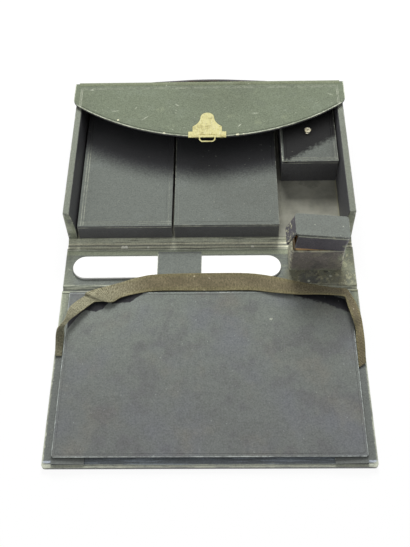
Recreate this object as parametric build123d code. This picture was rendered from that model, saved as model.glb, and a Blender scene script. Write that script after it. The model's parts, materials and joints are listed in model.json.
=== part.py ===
from build123d import *
import math
import os

os.makedirs("parts", exist_ok=True)

# Travelling writing case in leather-covered board, lying open, in millimetres.
# X is along its width, +Y is away from the reader, +Z is up.
# The origin is the centre of the tray's underside.

# Case
case_width = 305.0
tray_depth = 190.0
cover_depth = 190.6
spine_height = 54.2
board_thickness = 4.0
hinge_leather_thickness = 1.0
fold_height = 0.5
hinge_slack = 0.8
flap_joint_gap = 12.5
edge_rounding = 0.8

# Tray
floor_thickness = 3.5
wall_height = 47.0
wall_top_thickness = 7.0
wall_base_thickness = 10.1
wall_taper_start = 24.0
back_wall_thickness = 7.0
lining_thickness = 0.4
wall_rounding = 1.6

# Stationery boxes in the tray
box_front_inset = 0.6
box_back_gap = 1.0
box_wall = 2.0
box_floor = 1.5
box_lid_gap = 0.1
envelope_box_side_gap = 2.0
envelope_box_width = 100.4
envelope_box_top = 24.5
envelope_lid_thickness = 2.2
paper_box_left_gap = 2.6
paper_box_right_gap = 5.8
paper_box_top = 25.5
paper_lid_thickness = 2.2
corner_box_side_gap = 0.4
corner_box_width = 62.0
corner_box_depth = 103.0
corner_box_top = 36.7
corner_lid_thickness = 3.0
lid_rounding = 0.6

# Brass knob on the corner box lid
knob_setback = 43.5
knob_offset = -0.5
knob_radius = 3.8
knob_height = 4.6
knob_stem_radius = 2.0
knob_screw_radius = 1.0

# Spine, paper knife and its loop
knife_side_margin = 8.9
knife_end_gap = 8.1
knife_width = 27.7
knife_thickness = 2.5
knife_setback = 12.0
loop_width = 46.2
loop_from_blade_end = 89.0
loop_leather = 1.2
loop_clearance = 0.3
loop_foot = 5.0

# Ink box on the spine
ink_box_side_margin = 14.5
ink_box_width = 55.0
ink_box_depth = 26.5
ink_box_setback = 4.3
ink_box_height = 34.0
ink_lid_height = 23.0
ink_wall = 2.2
ink_corner_radius = 3.0
ink_sleeve_wall = 1.2
ink_sleeve_rise = 3.0
ink_sleeve_clearance = 0.6
ink_lid_rest_angle = 7.0
ink_lid_side_splay = 15.0
ink_lid_clearance = 0.1

# Ink bottle
bottle_width = 34.0
bottle_depth = 16.5
bottle_height = 30.0
bottle_wall = 1.8
bottle_neck_radius = 5.5
bottle_bore_radius = 3.5
bottle_neck_height = 6.0
cap_radius = 7.2
cap_wall = 1.4
cap_height = 8.0
cap_clearance = 0.1

# Letter pocket on the cover
pocket_side_margin = 9.0
pocket_far_inset = 5.85
pocket_front_margin = 7.6
pocket_back_margin = 2.1
pocket_back_leather = 0.7
pocket_leather = 0.9
gusset_reach = 30.0
gusset_opening = 1.0
pocket_front_thickness = 2.0
pocket_clearance = 0.1
pocket_fold_width = 2.8

# Retaining band of woven webbing, laid slack from the left anchor round to the right one
# Each station is its outer edge and its inner edge. Both ends are folded lengthwise and glued.
# They are laid for a case of the half-width given, and move out with a wider one.
band_thickness = 1.2
band_laid_half_width = 152.5
band_straight_reach = 60.0
band_stations = [
    ((-152.0, -246.0, 5.6), (-144.6, -246.0, 5.0)),
    ((-152.0, -237.0, 9.0), (-144.6, -235.0, 5.6)),
    ((-151.5, -223.0, 17.0), (-144.2, -219.5, 10.0)),
    ((-148.5, -218.5, 21.0), (-143.4, -213.0, 14.0)),
    ((-142.0, -207.5, 22.0), (-138.0, -202.5, 12.6)),
    ((-139.5, -192.5, 20.0), (-131.0, -193.5, 12.2)),
    ((-133.0, -183.0, 18.0), (-123.5, -185.5, 12.2)),
    ((-126.0, -173.5, 15.0), (-113.0, -179.5, 12.2)),
    ((-115.0, -166.0, 12.6), (-103.0, -181.5, 12.0)),
    ((-102.0, -161.0, 11.0), (-97.5, -182.0, 12.2)),
    ((-91.5, -156.5, 10.0), (-89.0, -176.0, 12.6)),
    ((-72.0, -149.0, 9.0), (-71.5, -170.0, 11.2)),
    ((-51.5, -146.0, 9.2), (-50.5, -166.0, 9.2)),
    ((0.0, -145.0, 9.2), (0.0, -166.0, 8.6)),
    ((41.0, -145.5, 9.0), (41.5, -166.6, 9.8)),
    ((68.0, -150.0, 8.8), (65.5, -171.0, 12.0)),
    ((90.0, -155.5, 8.6), (88.0, -174.0, 13.4)),
    ((113.5, -161.0, 8.4), (110.0, -177.0, 18.0)),
    ((131.5, -165.0, 9.8), (129.0, -179.5, 20.0)),
    ((142.5, -171.5, 11.4), (136.5, -182.0, 20.0)),
    ((148.0, -184.0, 10.6), (139.0, -192.0, 17.0)),
    ((151.5, -198.0, 11.0), (141.5, -202.0, 13.4)),
    ((152.5, -211.0, 11.5), (142.6, -213.0, 12.2)),
    ((152.4, -225.0, 12.0), (143.9, -225.5, 10.0)),
    ((152.2, -239.0, 9.0), (144.3, -240.5, 7.0)),
    ((151.5, -249.0, 5.4), (144.3, -253.5, 5.2)),
]

# Flap
flap_overhang = 2.5
flap_clearance = 0.3
flap_board_thickness = 2.4
flap_lining_thickness = 0.6
flap_lining_inset = 4.0
flap_depth = 85.1
flap_edge_radius = 250.0
flap_corner_width = 6.0
flap_corner_rise = 9.8
flap_corner_bulge = (1.6, 4.6)
flap_back_overlap = 0.9
flap_hinge_leather_drop = 20.0

# Brass hasp at the flap's edge
hasp_centre = -2.0
hasp_plate_thickness = 1.0
hasp_plate_height = 30.0
hasp_dome_radius = 7.6
hasp_shoulder_width = 32.5
hasp_shoulder_height = 9.0
hasp_rail_width = 41.8
hasp_rail_depth = 5.0
hasp_rail_height = 2.7
hasp_rail_setback = 0.6
hasp_knuckle_radius = 1.7
hasp_knuckle_reach = 1.5
hasp_staple_width = 20.0
hasp_knuckle_gap = 0.2
hasp_pin_radius = 0.6
hasp_pin_clearance = 0.05
hasp_tack_offset = 12.2
hasp_tack_rise = 5.0
staple_wire_radius = 0.8
staple_reach = 7.4
staple_top_half_width = 8.4
staple_foot_half_width = 6.2
tack_radius = 0.8
tack_head_radius = 1.2
tack_head_height = 0.35

# Lock let into the cover's outer face
lock_centre_setback = 115.2
lock_plate_width = 42.0
lock_plate_depth = 17.0
lock_depth = 3.0
lock_face = 0.8
lock_wall = 1.2
lock_slot_width = 19.0
lock_slot_depth = 2.8
lock_button_width = 6.0
lock_button_depth = 4.0
lock_travel = 2.5
lock_clearance = 0.2
lock_catch_thickness = 1.2
lock_tack_radius = 0.6

# Handle on the back wall
handle_span = 164.0
handle_arch = 11.0
handle_thickness = 3.2
handle_width = 18.0
handle_low = 21.5
handle_tail = 12.0
handle_rise = 13.0
handle_crown = 5.0
handle_crown_radius = 400.0
handle_shoulder_radius = 14.0
handle_foot_radius = 9.0
handle_plate_length = 9.0
handle_plate_height = 24.0
handle_plate_thickness = 1.2
handle_stud_radius = 1.6
handle_stud_head_radius = 2.6
handle_stud_head_height = 1.0
handle_stud_spacing = 9.0

# Places worked out from the sizes above
half_width = case_width / 2
tray_near = -tray_depth / 2
tray_far = tray_depth / 2
lining_top = floor_thickness + lining_thickness
back_inner = tray_far - back_wall_thickness
spine_fold_y = tray_near - flap_joint_gap
cover_fold_y = spine_fold_y - spine_height
spine_far = spine_fold_y - hinge_slack
inner_fold_room = board_thickness - fold_height + 0.5
spine_near = cover_fold_y + inner_fold_room
cover_far = cover_fold_y - hinge_slack
cover_near = cover_far - cover_depth
box_front = tray_near + box_front_inset
box_back = back_inner - box_back_gap
tray_inner_half = half_width - wall_base_thickness
envelope_box_left = -tray_inner_half + envelope_box_side_gap
envelope_box_right = envelope_box_left + envelope_box_width
corner_box_right = tray_inner_half - corner_box_side_gap
corner_box_left = corner_box_right - corner_box_width
paper_box_left = envelope_box_right + paper_box_left_gap
paper_box_right = corner_box_left - paper_box_right_gap
ink_box_left = half_width - ink_box_side_margin - ink_box_width
knife_left = -half_width + knife_side_margin
knife_length = ink_box_left - knife_end_gap - knife_left
loop_left = knife_left + loop_from_blade_end


def block(x0, x1, y0, y1, z0, z1):
    """Solid box between two corners."""
    middle = ((x0 + x1) / 2, (y0 + y1) / 2, (z0 + z1) / 2)
    return Location(middle) * Box(x1 - x0, y1 - y0, z1 - z0)


def rounded(solid, edges, radius):
    """The solid with those edges rounded."""
    return fillet(edges, radius) if edges else solid


def prism(points, start, depth, plane):
    """Straight-sided solid on an outline in a plane, from start along the plane's normal."""
    outline = make_face(Polyline(*points, close=True))
    placed = plane.offset(start) * outline
    return extrude(placed, depth)


def rod(start, end, radius):
    """Round bar between two points."""
    axis = Vector(*end) - Vector(*start)
    base = Plane(origin=start, z_dir=axis)
    return extrude(base * Circle(radius), axis.length)


# Tray

def tray_floor():
    slab = block(-half_width, half_width, tray_near, tray_far, 0, floor_thickness)
    ends = slab.edges().filter_by(Axis.Z)
    return rounded(slab, ends, wall_rounding)


def side_wall(side):
    """Tapered wall, thicker below."""
    top_inner = half_width - wall_top_thickness
    base_inner = half_width - wall_base_thickness
    outline = [
        (side * half_width, floor_thickness),
        (side * half_width, wall_height),
        (side * top_inner, wall_height),
        (side * base_inner, wall_taper_start),
        (side * base_inner, floor_thickness),
    ]
    return prism(outline, -tray_far, tray_depth, Plane.XZ)


def rounded_top(wall, along):
    top = wall.faces().sort_by(Axis.Z)[-1]
    return rounded(wall, top.edges().filter_by(along), wall_rounding)


def back_wall(left, right):
    slab = block(-half_width, half_width, back_inner, tray_far, floor_thickness, wall_height)
    return rounded_top(slab - left - right, Axis.X)


def tray_lining():
    return block(-tray_inner_half, tray_inner_half, tray_near + 0.5, back_inner, floor_thickness, lining_top)


# Stationery boxes

def open_box(x0, x1, y0, y1, z0, z1):
    """Open-topped box with thin walls."""
    outer = block(x0, x1, y0, y1, z0, z1)
    inner = block(
        x0 + box_wall, x1 - box_wall, y0 + box_wall, y1 - box_wall, z0 + box_floor, z1 + 1
    )
    return outer - inner


def stationery_box(left, right, far, near, top, lid_thickness):
    rim = top - lid_thickness - box_lid_gap
    return open_box(left, right, near, far, lining_top, rim)


def box_lid(left, right, far, near, top, lid_thickness):
    lid = block(left, right, near, far, top - lid_thickness, top)
    upper = lid.faces().sort_by(Axis.Z)[-1].edges()
    return rounded(lid, upper, lid_rounding)


corner_box_front = box_back - corner_box_depth
knob_x = (corner_box_left + corner_box_right) / 2 + knob_offset
knob_y = corner_box_front + knob_setback


def corner_lid():
    lid = box_lid(
        corner_box_left, corner_box_right, box_back, corner_box_front,
        corner_box_top, corner_lid_thickness,
    )
    hole = rod((knob_x, knob_y, 0), (knob_x, knob_y, corner_box_top + 1), knob_screw_radius)
    return lid - hole


def lid_knob():
    """Turned knob with a waist under its rim and a dimple in its top."""
    foot = corner_box_top
    profile = [
        (knob_screw_radius, foot),
        (knob_stem_radius + 0.6, foot),
        (knob_stem_radius, foot + 1.0),
        (knob_stem_radius, foot + knob_height - 2.4),
        (knob_radius, foot + knob_height - 1.6),
        (knob_radius, foot + knob_height - 0.6),
        (knob_radius - 0.7, foot + knob_height),
        (knob_screw_radius + 0.4, foot + knob_height),
        (knob_screw_radius, foot + knob_height - 0.6),
    ]
    face = Plane.XZ * make_face(Polyline(*profile, close=True))
    turned = revolve(face, Axis.Z)
    return Location((knob_x, knob_y, 0)) * turned


def knob_screw():
    low = corner_box_top - corner_lid_thickness
    return rod(
        (knob_x, knob_y, low), (knob_x, knob_y, corner_box_top + knob_height - 0.6),
        knob_screw_radius,
    )


# Spine

def spine_hinge_leather():
    return block(
        -half_width, half_width, spine_fold_y + 0.05, tray_near, 0, hinge_leather_thickness
    )


def spine_board():
    return block(-half_width, half_width, spine_near, spine_far, 0, board_thickness)


def cover_hinge_leather():
    return block(
        -half_width, half_width, cover_fold_y + 0.05, spine_near, 0, hinge_leather_thickness
    )


knife_far = spine_far - knife_setback
knife_near = knife_far - knife_width
knife_mid = (knife_far + knife_near) / 2


def paper_knife():
    """Flat bone blade with round ends."""
    centre = Location((knife_left + knife_length / 2, knife_mid, board_thickness))
    blade = extrude(centre * SlotOverall(knife_length, knife_width), knife_thickness)
    return fillet(blade.edges().group_by(Axis.Z)[-1], knife_thickness * 0.3)


def knife_loop():
    """Leather loop glued to the spine beyond both edges of the blade."""
    under = board_thickness + knife_thickness + loop_clearance
    over = under + loop_leather
    foot = board_thickness + loop_leather
    far = knife_far + loop_clearance
    near = knife_near - loop_clearance
    outline = [
        (far + loop_leather + loop_foot, board_thickness),
        (far + loop_leather + loop_foot, foot),
        (far + loop_leather, foot),
        (far + loop_leather, over),
        (near - loop_leather, over),
        (near - loop_leather, foot),
        (near - loop_leather - loop_foot, foot),
        (near - loop_leather - loop_foot, board_thickness),
        (near, board_thickness),
        (near, under),
        (far, under),
        (far, board_thickness),
    ]
    return prism(outline, loop_left, loop_width, Plane.YZ)


# Ink box

ink_right = ink_box_left + ink_box_width
ink_far = spine_far - ink_box_setback
ink_near = ink_far - ink_box_depth
ink_rim = board_thickness + ink_box_height
ink_mid_x = (ink_box_left + ink_right) / 2
ink_mid_y = (ink_far + ink_near) / 2


def rounded_shell(inset, z0, z1, radius):
    """Upright block of the ink box's plan, drawn in by inset."""
    solid = block(
        ink_box_left + inset, ink_right - inset, ink_near + inset, ink_far - inset, z0, z1
    )
    return rounded(solid, solid.edges().filter_by(Axis.Z), radius)


def ink_box():
    outer = rounded_shell(0, board_thickness, ink_rim, ink_corner_radius)
    inner = rounded_shell(ink_wall, board_thickness + ink_wall, ink_rim + 1, 1.0)
    return outer - inner


sleeve_inset = ink_wall + ink_sleeve_clearance


def ink_box_sleeve():
    """Raw inner lip that the lid closes over."""
    low = board_thickness + ink_wall
    high = ink_rim + ink_sleeve_rise
    outer = rounded_shell(sleeve_inset, low, high, 0.8)
    inner = rounded_shell(sleeve_inset + ink_sleeve_wall, low - 1, high + 1, 0.4)
    return outer - inner


def ink_box_lid():
    """Lid hinged at its right end, resting ajar, with its left side sprung outwards."""
    low = ink_rim + ink_lid_clearance
    high = low + ink_lid_height
    outer = rounded_shell(0, low, high, ink_corner_radius)
    inner = rounded_shell(ink_wall, low - 1, high - ink_wall, 1.0)
    shell = outer - inner
    cut = block(
        ink_box_left - 1, ink_box_left + ink_corner_radius, ink_near - 1, ink_far + 1,
        low - 1, high - ink_wall,
    )
    shell = shell - cut
    side = block(
        ink_box_left, ink_box_left + ink_wall, ink_near + ink_corner_radius,
        ink_far - ink_corner_radius, low, high - ink_wall / 2,
    )
    shell_edge = Axis((ink_box_left + ink_wall, 0, high - ink_wall / 2), (0, 1, 0))
    side = side.rotate(shell_edge, ink_lid_side_splay)
    lid = shell + side
    hinge = Axis((ink_right, 0, ink_rim), (0, 1, 0))
    return lid.rotate(hinge, ink_lid_rest_angle)


bottle_low = board_thickness + ink_wall
bottle_shoulder = bottle_low + bottle_height
bottle_top = bottle_shoulder + bottle_neck_height


def ink_bottle():
    """Flat-sided glass bottle with a short round neck."""
    def slab(inset, z0, z1):
        half_x = bottle_width / 2 - inset
        half_y = bottle_depth / 2 - inset
        return block(
            ink_mid_x - half_x, ink_mid_x + half_x, ink_mid_y - half_y, ink_mid_y + half_y, z0, z1
        )

    body = slab(0, bottle_low, bottle_shoulder)
    body = fillet(body.edges().filter_by(Axis.Z), 2.0)
    neck = rod(
        (ink_mid_x, ink_mid_y, bottle_shoulder - 1), (ink_mid_x, ink_mid_y, bottle_top),
        bottle_neck_radius,
    )
    hollow = slab(bottle_wall, bottle_low + bottle_wall, bottle_shoulder - bottle_wall)
    bore = rod(
        (ink_mid_x, ink_mid_y, bottle_shoulder - bottle_wall - 1),
        (ink_mid_x, ink_mid_y, bottle_top + 1), bottle_bore_radius,
    )
    return body + neck - hollow - bore


def ink_bottle_cap():
    low = bottle_shoulder + cap_clearance
    centre = Location((ink_mid_x, ink_mid_y, low))
    cup = extrude(centre * Circle(cap_radius), cap_height)
    cup = fillet(cup.edges().group_by(Axis.Z)[-1], 0.8)
    inside = extrude(
        centre * Circle(bottle_neck_radius + cap_clearance), bottle_neck_height - cap_clearance
    )
    return cup - inside


# Cover

def cover_board():
    board = block(-half_width, half_width, cover_near, cover_far, 0, board_thickness)
    near_ends = board.edges().filter_by(Axis.Z).group_by(Axis.Y)[0]
    board = fillet(near_ends, 3.0)
    board = board - lock_recess(0)
    return board - lock_tacks()


lock_x = hasp_centre
lock_y = cover_fold_y - lock_centre_setback


def lock_recess(inset):
    """The room let into the board from below for the lock, drawn in by inset."""
    half_x = lock_plate_width / 2 - inset
    half_y = lock_plate_depth / 2 - inset
    return block(lock_x - half_x, lock_x + half_x, lock_y - half_y, lock_y + half_y, 0, lock_depth)


def lock_plate():
    """Shallow brass tray, face down, with a slot for the staple and one for the button."""
    plate = lock_recess(0.1)
    room_x = lock_plate_width / 2 - lock_wall - lock_tack_radius * 4
    room_y = lock_plate_depth / 2 - lock_wall
    room = block(
        lock_x - room_x, lock_x + room_x, lock_y - room_y, lock_y + room_y, lock_face, lock_depth + 1
    )
    slot_y = lock_y + lock_plate_depth / 4
    slot = block(
        lock_x - lock_slot_width / 2, lock_x + lock_slot_width / 2,
        slot_y - lock_slot_depth / 2, slot_y + lock_slot_depth / 2, -1, lock_face + 1,
    )
    button_room = lock_button_room()
    return plate - room - slot - button_room - lock_tacks()


def lock_button_room():
    """Opening for the button, longer than it by the travel."""
    half_x = lock_button_width / 2 + lock_clearance
    half_y = lock_button_depth / 2 + lock_clearance
    button_y = lock_y - lock_plate_depth / 4
    return block(
        lock_x - half_x, lock_x + half_x + lock_travel, button_y - half_y, button_y + half_y,
        -1, lock_face + 1,
    )


def lock_catch():
    """Sliding catch behind the plate, with its button in the opening and two hooks at the slot."""
    low = lock_face + lock_clearance
    high = low + lock_catch_thickness
    button_y = lock_y - lock_plate_depth / 4
    slot_y = lock_y + lock_plate_depth / 4
    reach_x = lock_slot_width / 2
    body = block(
        lock_x - reach_x, lock_x + reach_x, button_y - lock_button_depth / 2 - 1,
        slot_y - lock_slot_depth / 2 - 0.3, low, high,
    )
    button = block(
        lock_x - lock_button_width / 2, lock_x + lock_button_width / 2,
        button_y - lock_button_depth / 2, button_y + lock_button_depth / 2, 0.2, low,
    )
    hooks = [
        block(x, x + 2.0, slot_y - lock_slot_depth / 2 - 0.3, slot_y + 1.0, low, high)
        for x in (lock_x - reach_x, lock_x + 1.0)
    ]
    return body + button + hooks[0] + hooks[1]


def lock_tacks():
    """Four round tacks at the lock's corners."""
    offset_x = lock_plate_width / 2 - lock_wall - lock_tack_radius
    offset_y = lock_plate_depth / 2 - lock_wall - lock_tack_radius
    return [
        rod(
            (lock_x + i * offset_x, lock_y + j * offset_y, 0),
            (lock_x + i * offset_x, lock_y + j * offset_y, board_thickness - 0.2),
            lock_tack_radius,
        )
        for i in (-1, 1)
        for j in (-1, 1)
    ]


# Letter pocket

pocket_half = half_width - pocket_side_margin
pocket_far = cover_far - pocket_far_inset
pocket_near = cover_near + pocket_front_margin
pocket_back_near = cover_near + pocket_back_margin
pocket_back_top = board_thickness + pocket_back_leather
gusset_top = pocket_back_top + 2 * pocket_leather + gusset_opening
pocket_front_low = gusset_top + pocket_clearance
pocket_front_top = pocket_front_low + pocket_front_thickness


def pocket_back():
    return block(
        -pocket_half, pocket_half, pocket_back_near, pocket_far + pocket_fold_width,
        board_thickness, pocket_back_top,
    )


def pocket_fold():
    """Strip that closes the pocket's far edge."""
    return block(
        -pocket_half, pocket_half, pocket_far, pocket_far + pocket_fold_width,
        pocket_back_top, gusset_top,
    )


def pocket_gusset(side):
    """Folded side of the pocket, its crease turned inwards."""
    outer = side * pocket_half
    crease = side * (pocket_half - gusset_reach)
    outline = [
        (outer, pocket_back_top),
        (outer, pocket_back_top + pocket_leather),
        (crease + side * 3, pocket_back_top + pocket_leather),
        (crease + side * 3, gusset_top - pocket_leather),
        (outer, gusset_top - pocket_leather),
        (outer, gusset_top),
        (crease, gusset_top),
        (crease, pocket_back_top),
    ]
    return prism(outline, -pocket_far + 0.2, pocket_far - 0.2 - pocket_back_near, Plane.XZ)


def pocket_front():
    panel = block(
        -pocket_half, pocket_half, pocket_near, pocket_far, pocket_front_low, pocket_front_top
    )
    panel = fillet(panel.edges().filter_by(Axis.Z).group_by(Axis.Y)[0], 2.5)
    return fillet(panel.faces().sort_by(Axis.Z)[-1].edges(), 0.5)


# Retaining band

def band_point(x, y, z):
    """A station's point, moved sideways with the case's side where it is past the straight run."""
    shift = half_width - band_laid_half_width
    if x < -band_straight_reach:
        x -= shift
    elif x > band_straight_reach:
        x += shift
    return Vector(x, y, z)


def retaining_band():
    """Ribbon lofted straight from station to station."""
    stations = [(band_point(*a), band_point(*b)) for a, b in band_stations]
    middles = [(a + b) * 0.5 for a, b in stations]
    sections = []
    last = len(stations) - 1
    for i, (outer, inner) in enumerate(stations):
        along = middles[min(i + 1, last)] - middles[max(i - 1, 0)]
        lift = along.cross(outer - inner).normalized() * (band_thickness / 2)
        corners = [outer + lift, inner + lift, inner - lift, outer - lift]
        sections.append(Wire.make_polygon(corners, close=True))
    return Solid.make_loft(sections, ruled=True)


# Flap

flap_low = wall_height + flap_clearance
flap_board_low = flap_low + flap_lining_thickness
flap_top = flap_board_low + flap_board_thickness
flap_axis_y = tray_far + 0.5
flap_axis_z = (flap_low + flap_top) / 2
flap_far = flap_axis_y - flap_back_overlap
flap_near = flap_far - flap_depth
flap_half = half_width + flap_overhang


def flap_outline(inset):
    """Half-moon outline of the flap, drawn in by inset."""
    half = flap_half - inset
    far = flap_far - (inset if inset else 0)
    reach = flap_near + inset
    turn = half - flap_corner_width
    sag = flap_edge_radius - math.sqrt(flap_edge_radius**2 - turn**2)
    left_turn = (-turn, reach + sag)
    right_turn = (turn, reach + sag)
    corner = reach + sag + flap_corner_rise
    bulge_x = half - flap_corner_bulge[0]
    bulge_y = corner - flap_corner_bulge[1]
    lines = [
        Line((-half, far), (-half, corner)),
        ThreePointArc((-half, corner), (-bulge_x, bulge_y), left_turn),
        ThreePointArc(left_turn, (0, reach), right_turn),
        ThreePointArc(right_turn, (bulge_x, bulge_y), (half, corner)),
        Line((half, corner), (half, far)),
        Line((half, far), (-half, far)),
    ]
    return make_face(Curve() + lines)


def flap_board():
    face = Location((0, 0, flap_board_low)) * flap_outline(0)
    board = extrude(face, flap_board_thickness)
    return board - hasp_tack_rods(tack_radius, flap_board_low, flap_top)


def flap_lining():
    face = Location((0, 0, flap_low)) * flap_outline(flap_lining_inset)
    return extrude(face, flap_lining_thickness)


def flap_hinge_leather():
    """Leather glued down the back wall, under the flap's far edge."""
    return block(
        -half_width + 2, half_width - 2, tray_far, tray_far + hinge_leather_thickness,
        wall_height - flap_hinge_leather_drop, wall_height - 0.1,
    )


# Hasp

hasp_base = flap_top
hasp_axis_y = flap_near - hasp_knuckle_reach
hasp_axis_z = hasp_base + hasp_knuckle_radius
hasp_rail_near = flap_near + hasp_rail_setback
hasp_rail_far = hasp_rail_near + hasp_rail_depth


def hasp_face():
    """Bell-shaped outline with round shoulders."""
    foot = hasp_rail_far
    shoulder = foot + hasp_shoulder_height
    top = foot + hasp_plate_height
    half = hasp_shoulder_width / 2
    waist = hasp_dome_radius + 1.0
    left = hasp_centre - half
    right = hasp_centre + half
    rise = top - hasp_dome_radius
    lines = [
        Line((left, foot), (left, shoulder)),
        ThreePointArc(
            (left, shoulder), (hasp_centre - waist - 2.6, shoulder + 4.2),
            (hasp_centre - hasp_dome_radius, rise),
        ),
        ThreePointArc(
            (hasp_centre - hasp_dome_radius, rise), (hasp_centre, top),
            (hasp_centre + hasp_dome_radius, rise),
        ),
        ThreePointArc(
            (hasp_centre + hasp_dome_radius, rise), (hasp_centre + waist + 2.6, shoulder + 4.2),
            (right, shoulder),
        ),
        Line((right, shoulder), (right, foot)),
        Line((right, foot), (left, foot)),
    ]
    return make_face(Curve() + lines)


def hasp_tack_places():
    low = hasp_rail_far + hasp_tack_rise
    return [
        (hasp_centre - hasp_tack_offset, low),
        (hasp_centre + hasp_tack_offset, low),
        (hasp_centre, hasp_rail_far + hasp_plate_height - hasp_dome_radius * 0.8),
    ]


def hasp_tack_rods(radius, z0, z1):
    return [rod((x, y, z0), (x, y, z1), radius) for x, y in hasp_tack_places()]


def hasp_plate():
    """Plate, moulded rail and the two outer knuckles."""
    bell = extrude(Location((0, 0, hasp_base)) * hasp_face(), hasp_plate_thickness)
    half = hasp_rail_width / 2
    left = hasp_centre - half
    right = hasp_centre + half
    rail = block(
        left, right, hasp_rail_near, hasp_rail_far, hasp_base, hasp_base + hasp_rail_height
    )
    rail = fillet(rail.faces().sort_by(Axis.Z)[-1].edges().filter_by(Axis.X), 1.1)
    middle = hasp_staple_width / 2 + hasp_knuckle_gap
    plate = bell + rail
    for x0, x1 in ((left, hasp_centre - middle), (hasp_centre + middle, right)):
        barrel = rod((x0, hasp_axis_y, hasp_axis_z), (x1, hasp_axis_y, hasp_axis_z), hasp_knuckle_radius)
        web = block(
            x0, x1, hasp_axis_y, hasp_rail_near + 0.5, hasp_axis_z - 0.6, hasp_axis_z + 0.9
        )
        plate = plate + barrel + web
    bore = rod(
        (left - 1, hasp_axis_y, hasp_axis_z), (right + 1, hasp_axis_y, hasp_axis_z),
        hasp_pin_radius,
    )
    return plate - bore - hasp_tack_rods(tack_radius, hasp_base, hasp_base + 5)


def hasp_tacks():
    """Three round-headed tacks through the plate into the flap."""
    shanks = hasp_tack_rods(tack_radius, flap_board_low, hasp_base + hasp_plate_thickness)
    head_low = hasp_base + hasp_plate_thickness
    heads = hasp_tack_rods(tack_head_radius, head_low, head_low + tack_head_height)
    return [shank + head for shank, head in zip(shanks, heads)]


def hasp_hinge_pin():
    half = hasp_rail_width / 2
    return rod(
        (hasp_centre - half, hasp_axis_y, hasp_axis_z),
        (hasp_centre + half, hasp_axis_y, hasp_axis_z), hasp_pin_radius,
    )


def hasp_staple():
    """Middle knuckle with the wire loop that enters the lock."""
    half = hasp_staple_width / 2
    barrel = rod(
        (hasp_centre - half, hasp_axis_y, hasp_axis_z),
        (hasp_centre + half, hasp_axis_y, hasp_axis_z), hasp_knuckle_radius,
    )
    near = hasp_axis_y - staple_reach
    shoulder = near + 2.6
    top = staple_top_half_width
    foot = staple_foot_half_width
    path = FilletPolyline(
        (hasp_centre - top, hasp_axis_y, hasp_axis_z),
        (hasp_centre - top, shoulder, hasp_axis_z),
        (hasp_centre - foot, near, hasp_axis_z),
        (hasp_centre + foot, near, hasp_axis_z),
        (hasp_centre + top, shoulder, hasp_axis_z),
        (hasp_centre + top, hasp_axis_y, hasp_axis_z),
        radius=1.2,
    )
    wire = sweep(Plane(origin=path @ 0, z_dir=path % 0) * Circle(staple_wire_radius), path=path)
    bore = rod(
        (hasp_centre - half - 1, hasp_axis_y, hasp_axis_z),
        (hasp_centre + half + 1, hasp_axis_y, hasp_axis_z), hasp_pin_radius + hasp_pin_clearance,
    )
    return barrel + wire - bore


# Handle

handle_wall = tray_far + hinge_leather_thickness
handle_high = handle_low + handle_width


def handle_strap():
    """Leather strap that arches off the back wall between its two ends."""
    base = handle_wall + handle_thickness / 2
    arch = handle_wall + handle_arch
    half = handle_span / 2
    foot = handle_foot_radius
    shoulder = handle_shoulder_radius
    path = FilletPolyline(
        (-half - handle_tail, base),
        (-half, base),
        (-half + handle_rise, arch),
        (0, arch + handle_crown),
        (half - handle_rise, arch),
        (half, base),
        (half + handle_tail, base),
        radius=[foot, shoulder, handle_crown_radius, shoulder, foot],
    )
    band = path.wire().offset_2d(handle_thickness / 2, side=Side.BOTH, closed=True)
    return extrude(Location((0, 0, handle_low)) * make_face(band), handle_width)


def handle_plate_centre(side):
    return side * (handle_span / 2 + handle_tail - handle_plate_length / 2)


def handle_plates(studs):
    """Two leather keepers over the ends of the strap."""
    low = handle_low + handle_width / 2 - handle_plate_height / 2
    near = handle_wall + handle_thickness + 0.05
    return [
        block(
            handle_plate_centre(side) - handle_plate_length / 2,
            handle_plate_centre(side) + handle_plate_length / 2,
            near, near + handle_plate_thickness, low, low + handle_plate_height,
        ) - studs
        for side in (-1, 1)
    ]


def handle_studs():
    """Brass studs through each keeper, beside the strap, into the wall."""
    middle = handle_low + handle_width / 2
    offset = handle_width / 2 + 1.6
    start = tray_far - 3.0
    face = handle_wall + handle_thickness + 0.05 + handle_plate_thickness
    studs = []
    for side in (-1, 1):
        x = handle_plate_centre(side)
        for up in (-1, 1):
            z = middle + up * offset
            shank = rod((x, start, z), (x, face, z), handle_stud_radius * 0.6)
            head = rod((x, face, z), (x, face + handle_stud_head_height, z), handle_stud_head_radius * 0.6)
            studs.append(shank + head)
    return studs


def write(name, shape):
    """Saves one node, as one solid or a group of separate ones."""
    if isinstance(shape, (list, tuple)):
        shape = Compound(children=[s for item in shape for s in item.solids()])
    export_step(shape, f"parts/{name}.step")


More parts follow.
